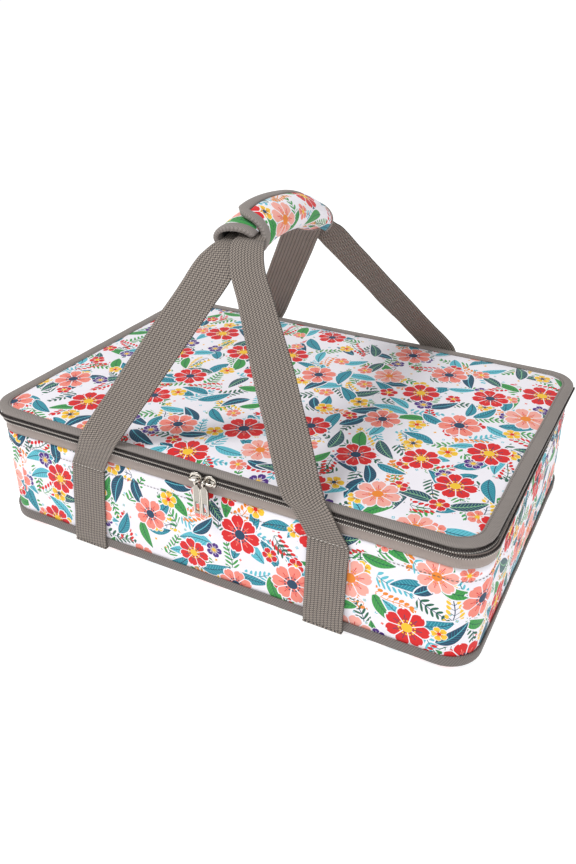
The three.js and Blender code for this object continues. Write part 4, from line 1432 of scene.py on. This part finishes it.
def leg_points(x, side, lift):
    """Places along a leg. side is -1 at the front, and lift parts the two straps."""
    left, front = x < 0, side < 0
    cuff = (ARCH.at(0) if front else ARCH.at(1)) / MM
    shift = CUFF_SHIFT if front and not left else 0
    aside = BACK_ASIDE if left and not front else 0
    swing = BACK_SWING if not left and not front else 0
    x, stitches = x / MM, STITCH_LINE / MM
    straight_x = cuff.x + math.copysign(CUFF_SPREAD, x)
    cuff_x = straight_x + shift

    def wall(offset, height, goal_x):
        lean = (goal_x - x) * (height - stitches) / (cuff.z - stitches)
        lean += aside * smoothstep(ASIDE_FROM, ASIDE_TO, height)
        return Vector((x + lean, side * (HALF_Y / MM + offset), height))

    sewn_out = SEWN_OUT + wall_bulge(STITCH_LINE, 1) / MM
    rim = wall(RIM_OUT, OVER_RIM, straight_x)
    approach = Vector((cuff_x + aside, cuff.y + side * CUFF_REACH, cuff.z - CUFF_DROP + swing))
    run = (approach - rim).normalized()
    approach += Vector((0, run.z, -run.y)).normalized() * side * lift
    mouth = Vector((
        mix(cuff.x + shift, cuff_x, MOUTH_SHARE ** 2), cuff.y + side * CUFF_REACH * MOUTH_SHARE,
        cuff.z - CUFF_DROP * MOUTH_SHARE ** 2 + swing * MOUTH_SWING_SHARE,
    ))
    slope = side * 2 * CUFF_DROP * MOUTH_SHARE / CUFF_REACH
    mouth += Vector((0, slope, 1)).normalized() * lift
    points = [
        wall(sewn_out, LEG_START, cuff_x),
        wall((sewn_out + RIM_OUT) / 2, (stitches + RIM_LOW) / 2, cuff_x),
        wall(RIM_OUT, UNDER_RIM, cuff_x), rim,
        *(rim.lerp(approach, share) for share in (0.3, 0.6, 0.85)), approach, mouth,
    ]
    return [point * MM for point in points]


# %% The route of a whole loop and the width of its strap
GRIP_SHARES = (0.03, 0.14, 0.3, 0.5, 0.7, 0.86, 0.97)
SHIFT_END_SHARE = 0.3
TURNED_WIDE, TURNED_DRAW = 26.5 * MM, 3 * MM
LEFT_SQUARE_SHARE, SQUARE_SHARE = 0.97, 0.82


def loop_route(x, lean, lift):
    """Up the front, through the wrap and down the back. The right strap enters beside it."""
    grip = []
    for share in GRIP_SHARES:
        beside = CUFF_SHIFT * max(1 - share / SHIFT_END_SHARE, 0) if x > 0 else 0
        grip.append(ARCH.at(share) + Vector((beside, 0, lift)) * MM)
    return Route(leg_points(x + lean, -1, lift) + grip + leg_points(x, 1, lift)[::-1], 1600)


def leg_width(share):
    """The strap is gathered to the width of the grip just before the wrap."""
    return mix(STRAP_WIDE, GRIP_WIDE, smoothstep(0.88, 1, share))


def turned_width(share):
    """The right strap turns its edge to the front on its way up, so it looks narrower."""
    width = mix(STRAP_WIDE, TURNED_WIDE, smoothstep(0.5, 0.85, share))
    return width - TURNED_DRAW * smoothstep(0.96, 1, share)


def leg_square(share, start=SQUARE_SHARE):
    """How squarely the strap faces the front: at its stitches and again in the wrap."""
    return 1 - smoothstep(0.05, 0.28, share) + smoothstep(start, 1, share)


# %% [markdown]
# Each loop is cut in three where it enters and leaves the wrap, as the imported solids are.
# The grip moves with the loop. A leg hangs between two bodies, so it is set on neither of
# them and stays where it is laid.

# %% The two loops
LOOP_LIFT = 1.4
LEG_ROWS, GRIP_ROWS = 110, 60
LEG_WAVE = 0.6 * MM
CUT_SHARE = 0.0003

for name, lift in (("left", -LOOP_LIFT), ("right", LOOP_LIFT)):
    route = loop_route(*STRAPS[name], lift)
    steps = [i / 800 for i in range(801)]
    front_cuff = next(s for s in steps if route.at(s).y > ARCH.at(0).y)
    back_cuff = next(s for s in reversed(steps) if route.at(s).y < ARCH.at(1).y)
    body = f"{name}_loop"
    front_width, square_from = leg_width, LEFT_SQUARE_SHARE
    if name == "right":
        front_width, square_from = turned_width, SQUARE_SHARE
    front = lay_strap(
        f"{name}_front_webbing", route, front_width, lambda s: leg_square(s, square_from),
        LEG_ROWS, LEG_WAVE, start=0.0, end=front_cuff - CUT_SHARE,
    )
    grip = lay_strap(
        f"{name}_grip_webbing", route, lambda s: GRIP_WIDE, lambda s: 1, GRIP_ROWS,
        start=front_cuff + CUT_SHARE, end=back_cuff - CUT_SHARE,
    )
    back = lay_strap(
        f"{name}_back_webbing", route, lambda s: leg_width(1 - s), lambda s: leg_square(1 - s),
        LEG_ROWS, LEG_WAVE, start=back_cuff + CUT_SHARE, end=1.0,
    )
    dress(front, None, "webbing", WEBBING, f"{name}_loop_front_leg")
    dress(back, None, "webbing", WEBBING, f"{name}_loop_back_leg")
    dress(grip, body, "webbing", WEBBING, f"{name}_loop_grip")
    for leg in (front, back):
        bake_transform(leg)
    print(name, "loop is", round(route.length / MM), "mm long")

# %% [markdown]
# A pale row of stitches holds each strap where it leaves the wall. The row lies on top of
# the strap, and its places come from the same rule as the strap's own.

# %% The stitches across the straps
STITCHES_ACROSS = 10
STITCH_OUT, STITCH_ABOVE = 2.9 * MM, 0.6 * MM

for name, (x, front_lean) in STRAPS.items():
    for side, word, lean in ((-1, "front", front_lean), (1, "back", 0)):
        spots = []
        for step in range(STITCHES_ACROSS):
            across = (step - (STITCHES_ACROSS - 1) / 2) * STITCH_PITCH
            place = wall_point(x + lean + across, side, STITCH_OUT, STITCH_LINE + STITCH_ABOVE)
            spots.append((place, Vector((1, 0, 0)), Vector((0, side, 0))))
        stitch_row(
            f"{name}_{word}_strap_stitches", "tub", spots, (2.1, 0.8, 0.75), PALE_THREAD, "webbing",
        )

# %% [markdown]
# The wrap is a small padded blanket round both straps. It is open on its right side. A flap
# grows from its lower right edge, folds over the top and closes on hook and loop tape. A point
# of the wrap is a share of the arch's length, a depth outside the bore and an angle round it.

# %% Layers round the arch
BORE_WIDE, BORE_HIGH = 27.6 * MM, 12.8 * MM


def wrap_point(share, depth, angle):
    along = ARCH.along(share)
    side = Vector((along.y, -along.x, 0)).normalized()
    up = side.cross(along)
    turn = math.radians(angle)
    point = ARCH.at(share) + side * ((BORE_WIDE / 2 + depth) * math.cos(turn))
    return point + up * ((BORE_HIGH / 2 + depth) * math.sin(turn))


def arc_length(depth, start, end):
    return math.radians(abs(end - start)) * (BORE_WIDE / 4 + BORE_HIGH / 4 + depth)


def wrap_sheet(name, inner, outer, shares, angles, cells=(24, 40), swell=0.0, ripple=0.0,
               point_at=wrap_point):
    """A bent sheet between two depths. It swells away from its edges, as padding does."""

    def place(u, v, w):
        share = mix(shares[0], shares[1], u)
        angle = mix(angles[0], angles[1], v)
        puff = (4 * u * (1 - u)) ** 0.5 * min((4 * v * (1 - v)) ** 0.5 * 1.6, 1)
        soft = ripple * noise.noise(Vector((share * 9, angle / 22, 2)))
        depth = mix(inner, outer, w) + w * (swell * puff + soft * puff)
        return point_at(share, depth * MM, angle)

    width = (shares[1] - shares[0]) * ARCH.length
    length = arc_length(outer * MM, *angles)
    return cloth_slab(name, cells[0], cells[1], place, width, length, (0.3, 0.15))


# %% The wrap itself
BIND = 8 * MM / ARCH.length
BACK_BIND = 3 * MM / ARCH.length
SLIT = 0.3 * MM / ARCH.length
MIDDLE = (BIND + SLIT, 1 - BACK_BIND - SLIT)
WRAP_TURN = (28, 320)
lining = wrap_sheet("wrap_lining_cloth", 0, 0.6, MIDDLE, WRAP_TURN)
# The lining takes the black hook tape cloth: partly the black tape in the wrap's mouth, partly painted
# shade inside it.
dress(lining, "right_loop", "hook_and_loop", BLACK_TAPE, "wrap_lining")
pad = wrap_sheet("wrap_padding", 0.9, 2.1, MIDDLE, WRAP_TURN)
dress(pad, "right_loop", "foam", FOAM, "wrap_pad", padding=0.6)
cover = wrap_sheet("wrap_cover_cloth", 2.4, 3.2, MIDDLE, WRAP_TURN, (36, 60), 0.2, 0.2)
dress(cover, "right_loop", "print_fabric", COTTON, "wrap_cover", padding=0.6)
for word, shares in (("front", (0, BIND)), ("back", (1 - BACK_BIND, 1))):
    edge = wrap_sheet(f"wrap_{word}_binding_tape", 0, 3.3, shares, WRAP_TURN, (8, 60), 0.6)
    dress(edge, "right_loop", "grey_twill", TWILL, f"wrap_{word}_binding")

# %% [markdown]
# The flap is a second blanket over the first one. The photograph shows its front edge cut on
# a slant and its free corners rounded, so its points are bent from a square sheet before
# they go round the arch. Its free edge stands off a little over the hook and loop tape.

# %% The flap's own shape
FLAP_TURN = (-36, 107)
FLAP_SLANT = 15 * MM
FLAP_ROUND = 11 * MM
FLAP_LIFT = 0.8
FLAP_IN, FLAP_OUT = 5.45, 8.45
FLAP_REACH = arc_length(8 * MM, *FLAP_TURN)
FLAP_BIND = math.degrees(9.5 * MM / (BORE_WIDE / 2 + FLAP_OUT * MM))
TAPE_TURN = (80, 103)
print("the flap reaches", round(FLAP_REACH / MM), "mm round the arch")


def round_corner(first, second):
    """Bends the square corner of two lengths from the edges into a round one."""
    across, along = 1 - first / FLAP_ROUND, 1 - second / FLAP_ROUND
    if across <= 0 or along <= 0:
        return first, second
    first = FLAP_ROUND * (1 - across * math.sqrt(1 - along * along / 2))
    second = FLAP_ROUND * (1 - along * math.sqrt(1 - across * across / 2))
    return first, second


def flap_point(share, depth, angle):
    """The front edge slants back towards the free edge, and its two corners are round."""
    span = FLAP_TURN[1] - FLAP_TURN[0]
    turned = (angle - FLAP_TURN[0]) / span * FLAP_REACH
    front, free = round_corner(share * ARCH.length, FLAP_REACH - turned)
    front, root = round_corner(front, FLAP_REACH - free)
    share, angle = front / ARCH.length, FLAP_TURN[0] + root / FLAP_REACH * span
    slant = FLAP_SLANT * root / FLAP_REACH
    lift = FLAP_LIFT * (1 + 1.2 * share) * MM
    lift *= smoothstep(66, 100, angle) * smoothstep(5 * MM, 9 * MM, depth)
    return wrap_point(share + (1 - share) * slant / ARCH.length, depth + lift, angle)


# %% The flap's sheets and its hook and loop tape
panel_turn = (FLAP_TURN[0], FLAP_TURN[1] - FLAP_BIND - 2.8)
for name, inner, outer, swell, slot_name, finish, node in (
    ("flap_lining_cloth", FLAP_IN, 6.05, 0, "grey_twill", TWILL, "flap_lining"),
    ("flap_padding", 6.35, 7.35, 0, "foam", FOAM, "flap_pad"),
    ("flap_cover_cloth", 7.65, FLAP_OUT, 0.8, "print_fabric", COTTON, "flap_cover"),
):
    sheet = wrap_sheet(
        name, inner, outer, MIDDLE, panel_turn, (36, 44), swell, swell * 0.4, flap_point,
    )
    padding = 0.6 if slot_name != "grey_twill" else None
    dress(sheet, "wrap_flap", slot_name, finish, node, padding=padding)
tape_shares = (FLAP_SLANT / ARCH.length + BIND + SLIT, MIDDLE[1])
for name, inner, outer, body, node in (
    ("wrap_loop_tape", 3.5, 4.1, "right_loop", "loop_tape"),
    ("flap_hook_tape", 4.4, 5.0, "wrap_flap", "hook_tape"),
):
    strip = wrap_sheet(name, inner, outer, tape_shares, TAPE_TURN, (24, 8))
    dress(strip, body, "hook_and_loop", BLACK_TAPE, node)

# %% [markdown]
# One strip of twill is folded round three edges of the flap. It is a sheet with its middle
# taken out, so its corners are whole. A few lines of the grid lie in each band of tape, which
# lets the tape roll over the edge.

# %% The tape round the flap
TAPE_CELLS = 6
EDGING_CELLS = (54, 46)


def band_line(value, cells, first, last):
    """Moves even grid lines so that a few of them lie in each band of tape."""
    index = round((value + 0.5) * cells)
    if index >= cells - TAPE_CELLS:
        return 1 - last * (cells - index) / TAPE_CELLS
    if not first:
        return (1 - last) * index / (cells - TAPE_CELLS)
    if index <= TAPE_CELLS:
        return first * index / TAPE_CELLS
    return mix(first, 1 - last, (index - TAPE_CELLS) / (cells - 2 * TAPE_CELLS))


# %% The edging as one piece
def flap_edging():
    """A tape folded round three edges of the flap: front, back and free edge."""
    bm = bmesh.new()
    uv = bm.loops.layers.uv.new("UVMap")
    bmesh.ops.create_grid(bm, x_segments=EDGING_CELLS[0], y_segments=EDGING_CELLS[1], size=0.5)
    free = FLAP_BIND / (FLAP_TURN[1] - FLAP_TURN[0])
    for vert in bm.verts:
        across = band_line(vert.co.x, EDGING_CELLS[0], BIND, BACK_BIND)
        vert.co = (across, band_line(vert.co.y, EDGING_CELLS[1], 0, free), 0)
    middles = [(f, f.calc_center_median()) for f in bm.faces]
    inside = [f for f, at in middles if BIND < at.x < 1 - BACK_BIND and at.y < 1 - free]
    bmesh.ops.delete(bm, geom=inside, context="FACES")
    grown = bmesh.ops.extrude_face_region(bm, geom=bm.faces[:])["geom"]
    top = [g for g in grown if isinstance(g, bmesh.types.BMVert)]
    bmesh.ops.translate(bm, verts=top, vec=(0, 0, 1))
    for face in bm.faces:
        for loop in face.loops:
            u, v, w = loop.vert.co
            loop[uv].uv = (u * ARCH.length, v * FLAP_REACH + w * MM)
    for vert in bm.verts:
        u, v, w = vert.co
        from_edge = min(u / BIND, (1 - u) / BACK_BIND, (1 - v) / free)
        roll = math.sin(math.pi * min(max(from_edge, 0), 1)) ** 0.5
        depth = mix(FLAP_IN, FLAP_OUT + 0.15, w) + (w - 0.35) * 0.9 * roll
        vert.co = flap_point(u, depth * MM, mix(*FLAP_TURN, v))
    bmesh.ops.recalc_face_normals(bm, faces=bm.faces)
    return finish_mesh("flap_binding_tape", bm)


dress(flap_edging(), "wrap_flap", "grey_twill", TWILL, "flap_binding")

# %% [markdown]
# Two sliders meet at the middle of the front. Each has a cast plate over the teeth, a bridge
# that stands off it, and a pull that hangs from the bridge by an eye. The pull is a stamped
# tab with a raised rim along both sides and a slot near its end.

# %% Measures of the sliders
FRONT = -HALF_Y
PLATE_LOW, PLATE_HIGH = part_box("left_slider")[0][2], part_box("left_slider")[1][2]
BAR_OFFSET, BAR_HEIGHT = 7.6 * MM, 100.4 * MM
PLATE_HALF = 5.2 * MM
PLATE_POINTS = 48
EDGE_BEND = 0.9


def metal_piece(name, body, bm, bright_at, *nodes):
    """bright_at gives for a point how bright the metal is painted there, from painted shade to painted
    highlight.
    """
    bmesh.ops.recalc_face_normals(bm, faces=bm.faces)
    uv = bm.loops.layers.uv.verify()
    for face in bm.faces:
        for loop in face.loops:
            loop[uv].uv = (bright_at(loop.vert.co), 0.5)
    piece = dress(finish_mesh(name, bm), body, "zip_metal", NICKEL, *nodes)
    piece.data.uv_layers[0].name = "UVMap"
    return piece


# %% The plate over the teeth
def slider_plate(name, x):
    """A cushion with a narrow waist at its top and foot."""
    middle, rise = (PLATE_LOW + PLATE_HIGH) / 2, (PLATE_HIGH - PLATE_LOW) / 2
    layers = ((0.9, 3.0), (1.0, 3.15), (1.0, 3.6), (0.93, 3.95), (0.8, 4.15), (0.4, 4.2))
    # Painted light: the back layers are painted in shade, the front rim with a highlight.
    bright = (0, 0, 0.1, 0.75, 0.9, 0.55)

    def place(row, column):
        scale, out = layers[row]
        turn = 2 * math.pi * column / PLATE_POINTS
        wide = math.copysign(abs(math.cos(turn)) ** 0.5, math.cos(turn))
        tall = math.copysign(abs(math.sin(turn)) ** 0.55, math.sin(turn))
        wide *= PLATE_HALF * (1 - 0.26 * tall * tall)
        return Vector((x + wide * scale, FRONT - out * MM, middle + tall * rise * scale))

    plate = sweep_ring(
        f"{name}_slider_plate", PLATE_POINTS, len(layers), place,
        lambda row, column: (bright[row], column / PLATE_POINTS),
    )
    return dress(plate, f"{name}_slider", "zip_metal", NICKEL, f"{name}_slider")


def slider_side(name, x):
    """The folded side under the lower teeth."""
    bm = bmesh.new()
    size = Matrix.Diagonal((7.4 * MM, 2.4 * MM, 1.3 * MM, 1))
    place = Matrix.Translation((x, FRONT - 2.35 * MM, PLATE_LOW + 0.65 * MM))
    bmesh.ops.create_cube(bm, size=1, matrix=place @ size)
    bmesh.ops.bevel(
        bm, geom=bm.edges[:], offset=0.35 * MM, segments=2, profile=0.5, affect="EDGES", material=-1,
    )
    # The side is painted mid-dark, as painted shade round the plate.
    return metal_piece(f"{name}_slider_side", f"{name}_slider", bm, lambda at: 0.35)


# %% The bridge and the eye
def bridge_place(share):
    """Out from the plate, across, and back, with round shoulders."""
    turn = math.pi * share
    wide = math.copysign(abs(math.cos(turn)) ** 0.45, math.cos(turn))
    tall = max(math.sin(turn), 0) ** 0.55
    return Vector((-4.4 * MM * wide, -mix(3.4 * MM, BAR_OFFSET, tall), 0))


def slider_bridge(name, x):
    rows, ring = 33, 12

    def place(row, column):
        share = row / (rows - 1)
        at = bridge_place(share)
        along = (bridge_place(min(share + 0.02, 1)) - bridge_place(max(share - 0.02, 0))).normalized()
        out = along.cross(Vector((0, 0, 1)))
        turn = 2 * math.pi * column / ring
        at = at + out * (0.6 * MM * math.cos(turn)) + Vector((0, 0, 0.85 * MM * math.sin(turn)))
        return at + Vector((x, FRONT, BAR_HEIGHT))

    # Painted light: the outer, upper face of the wire is painted bright, the inner face in shade.
    def bright(row, column):
        turn = 2 * math.pi * column / ring
        return (0.62 + 0.75 * math.cos(turn) + 0.25 * math.sin(turn), row / rows)

    bridge = sweep_ring(f"{name}_slider_bridge", ring, rows, place, bright)
    return dress(bridge, f"{name}_slider", "zip_metal", NICKEL)


# %% [markdown]
# The pull is stamped from sheet metal. Its grid has a line wherever the tab changes: at the
# rims, at the slot and at the neck. Cells in the slot are deleted before the sheet gets its
# thickness, and the sharp edges are softened last. The eye is a ring spun round the bridge.

# %% The pull
PULL_HALF, PULL_TOP, PULL_LOW = 3.2, 97.95, 72.45
SLOT_HALF, SLOT_LOW, SLOT_HIGH = 1.6, 74.65, 82.65
FOOT_ROUND, NECK_DROP, NECK_HALF = 1.6, 3.4, 1.2
PULL_COLUMNS = (-3.2, -3.0, -2.55, -2.35, -1.6, -0.55, 0.55, 1.6, 2.35, 2.55, 3.0, 3.2)
PULL_ROWS = (
    72.45, 72.7, 73.2, 74.0, 74.65, 78.6, 82.65, 84.4, 88.0, 92.0, 93.6, 94.6, 95.7, 97.0, 97.95,
)


def pull_outline(x, z):
    """The tab is round at its foot and runs up into the narrow eye."""
    half = PULL_HALF
    if z < PULL_LOW + FOOT_ROUND:
        up = (PULL_LOW + FOOT_ROUND - z) / FOOT_ROUND
        half = PULL_HALF - FOOT_ROUND + FOOT_ROUND * math.sqrt(max(1 - up ** 2, 0))
    if z > PULL_TOP - NECK_DROP:
        half = mix(PULL_HALF, NECK_HALF, smoothstep(PULL_TOP - NECK_DROP, PULL_TOP - 0.4, z))
    return x * half / PULL_HALF


# %% The tab of the pull
def pull_tab(name, x):
    bm = bmesh.new()
    columns, rows = len(PULL_COLUMNS) - 1, len(PULL_ROWS) - 1
    bmesh.ops.create_grid(bm, x_segments=columns, y_segments=rows, size=0.5)
    for vert in bm.verts:
        column, row = round((vert.co.x + 0.5) * columns), round((vert.co.y + 0.5) * rows)
        vert.co = (PULL_COLUMNS[column], 0, PULL_ROWS[row])
    middles = [(f, f.calc_center_median()) for f in bm.faces]
    slot = [f for f, at in middles if abs(at.x) < SLOT_HALF and SLOT_LOW < at.z < SLOT_HIGH]
    bmesh.ops.delete(bm, geom=slot, context="FACES")
    grown = bmesh.ops.extrude_face_region(bm, geom=bm.faces[:])["geom"]
    outer = {g for g in grown if isinstance(g, bmesh.types.BMVert)}
    for vert in bm.verts:
        across, height = abs(vert.co.x), vert.co.z
        rim = smoothstep(2.2, 2.6, across) * (1 - smoothstep(3.0, 3.2, across) * 0.6)
        rim *= 1 - smoothstep(PULL_TOP - 4, PULL_TOP - 1, height)
        away = 0.65 + 0.45 * rim if vert in outer else -0.65
        wide = pull_outline(vert.co.x, height)
        vert.co = (x + wide * MM, FRONT - BAR_OFFSET - away * MM, height * MM)
    bmesh.ops.recalc_face_normals(bm, faces=bm.faces)
    sharp = [e for e in bm.edges if e.calc_face_angle(0) > EDGE_BEND]
    bmesh.ops.bevel(
        bm, geom=sharp, offset=0.14 * MM, segments=2, profile=0.5, affect="EDGES", material=-1,
    )

    # Painted light: the raised rims of the front face get a painted highlight, the middle a mid tone,
    # the sides and back painted shade.
    def bright_at(at):
        front = (FRONT - BAR_OFFSET - at.y) / MM
        across = abs(at.x - x) / MM
        if front < 0.5 or across > 3.1:
            return 0.12
        return 0.97 if front > 0.85 else 0.5

    return metal_piece(f"{name}_pull_tab", f"{name}_pull", bm, bright_at, f"{name}_pull")


# %% The eye of the pull
def pull_eye(name, x):
    bm = bmesh.new()
    wire = bmesh.ops.create_circle(bm, segments=12, radius=0.66 * MM)["verts"]
    bmesh.ops.rotate(bm, verts=wire, cent=(0, 0, 0), matrix=Matrix.Rotation(QUARTER, 3, "Y"))
    bar = Vector((x, FRONT - BAR_OFFSET, BAR_HEIGHT))
    bmesh.ops.rotate(bm, verts=wire, cent=(0, 0, 0), matrix=Matrix.Rotation(QUARTER, 3, "Z"))
    bmesh.ops.translate(bm, verts=wire, vec=bar + Vector((0, 0, -2.45 * MM)))
    bmesh.ops.spin(
        bm, geom=bm.edges[:] + bm.verts[:], cent=bar, axis=(1, 0, 0), dvec=(0, 0, 0),
        angle=2 * math.pi, steps=28, use_merge=True, use_duplicate=False,
    )

    # Painted light: the inside of the eye, round the bridge, is painted in shade, its outside bright.
    def bright_at(at):
        reach = math.hypot(at.y - bar.y, at.z - bar.z) / MM
        return 0.1 + 0.9 * smoothstep(2.1, 2.9, reach)

    return metal_piece(f"{name}_pull_eye", f"{name}_pull", bm, bright_at)


# %% Both sliders with their pulls
for name in ("left", "right"):
    slider_x, pull_x = middle_x(f"{name}_slider"), middle_x(f"{name}_pull")
    slider_plate(name, slider_x)
    slider_side(name, slider_x)
    slider_bridge(name, slider_x)
    pull_tab(name, pull_x)
    pull_eye(name, pull_x)

# %% [markdown]
# Inside the tub a grey lining covers the foam. The foam is one soft ring here, and the
# lining is a shell whose walls and floor meet in a small round.

# %% Foam, board and lining
WALL_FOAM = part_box("front_foam")
foam_ring = rounded_profile(
    -7.05 * MM, -1.15 * MM, WALL_FOAM[0][2], WALL_FOAM[1][2], 1.6 * MM,
)
dress(
    sweep_outline("wall_foam_ring", foam_ring, cuts=(24, 16)), "tub", "foam", FOAM,
    "front_foam", "back_foam", "left_foam", "right_foam", padding=0.9,
)


def lining_profile():
    low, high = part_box("tub_lining")
    outer = [(-7.45, low[2] / MM + 4), (-7.45, high[2] / MM - 0.4)]
    inner = [(-8.0, high[2] / MM)]
    inner += [(-8.1 - 0.25 * math.sin(i), high[2] / MM - 8 - i * 8) for i in range(8)]
    inner += [(-8.6, 18), (-10, 14.2), (-13, 12.45)]
    return [(x * MM, z * MM) for x, z in outer + inner] + [(-13 * MM, low[2]), (-9 * MM, low[2])]


lining_walls = sweep_outline("tub_lining_walls", lining_profile(), cuts=(36, 24), wobble=0.2 * MM)
dress(lining_walls, "tub", "lining", LINING, "tub_lining")


# %% [markdown]
# The rest of the inside is flat: the floor of the lining, the sheets of foam, the bottom of
# the bag and the lid's lining. Each is one slab with the box's outline, drawn in a little and
# set between two heights. The foam is a hair thinner than its solid, so no two sheets touch.

# %% The flat sheets inside
SHEET_EASE, FOAM_EASE, FOAM_GAP = 0.1 * MM, 0.2 * MM, 0.05 * MM
FLOOR_INSET = 12.6 * MM


def slab_place(inset, low, high, rise):
    """A slab of the box's outline, drawn in by inset. rise lifts its top into a soft pillow."""

    def place(u, v, w):
        x, y = inside_outline(u, v)
        x, y = x * (1 - inset / HALF_X), y * (1 - inset / HALF_Y)
        soft = rise * (0.6 + 0.4 * noise.noise(Vector((x, y, 0.4)) * 16))
        edge = smoothstep(0, 14 * MM, min(HALF_X - inset - abs(x), HALF_Y - inset - abs(y)))
        return Vector((x, y, mix(low, high, w) + w * soft * edge))

    return place


def slab_piece(name, inset, low, high, rise, cells):
    place = slab_place(inset, low, high, rise)
    return cloth_slab(name, *cells, place, 2 * HALF_X, 2 * HALF_Y)


def sheet_of(node, name, side_ease, gap, cells):
    """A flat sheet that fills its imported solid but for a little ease."""
    low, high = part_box(node)
    return slab_piece(name, HALF_X - high[0] + side_ease, low[2] + gap, high[2] - gap, 0, cells)


LINING_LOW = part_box("tub_lining")[0][2] + FOAM_GAP
dress(
    slab_piece(
        "tub_lining_floor", FLOOR_INSET, LINING_LOW, LINING_LOW + 0.5 * MM, 0.6 * MM, (48, 34),
    ),
    "tub", "lining", LINING,
)
base_foam = sheet_of("base_foam", "base_foam_sheet", FOAM_EASE, FOAM_GAP, (24, 16))
dress(base_foam, "tub", "foam", FOAM, "base_foam", padding=0.9)
base_panel = sheet_of("base_panel", "base_panel_cloth", SHEET_EASE, 0, (60, 42))
dress(base_panel, "tub", "print_fabric", COTTON, "base_panel")
lid_foam = sheet_of("lid_foam", "lid_foam_sheet", FOAM_EASE, FOAM_GAP, (24, 16))
dress(lid_foam, "lid", "foam", FOAM, "lid_foam", padding=0.9)
low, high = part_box("lid_lining")
lid_lining = slab_piece(
    "lid_lining_cloth", HALF_X - high[0] + SHEET_EASE, high[2], low[2], -0.9 * MM, (60, 42),
)
dress(lid_lining, "lid", "lining", LINING, "lid_lining")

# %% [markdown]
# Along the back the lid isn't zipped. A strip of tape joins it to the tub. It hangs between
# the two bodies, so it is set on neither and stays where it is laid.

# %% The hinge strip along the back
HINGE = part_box("hinge_strip")
HEM = 103.8 * MM
HINGE_ROWS = 8
levels = [mix(HINGE[0][2], HINGE[1][2], row / HINGE_ROWS) for row in range(HINGE_ROWS + 1)] + [HEM]
strip = [(0.75 * MM, z) for z in levels] + [(0.0, z) for z in reversed(levels)]
hinge_strip = sweep_outline(
    "hinge_strip_cloth", strip, cuts=FINE_CUTS, keep_back_of=ZIP_END + 0.3 * MM,
)
dress(hinge_strip, None, "zip_tape", TAPE, "hinge_strip")
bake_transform(hinge_strip)
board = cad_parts["base_board"]
board.data.materials.clear()
board.data.materials.append(BOARD)
print("the board keeps its packed shape")

# %% [markdown]
# Last of all the bounds of the dressed model are measured, since cloth may puff up a little.

# %% Sizes
low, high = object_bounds()
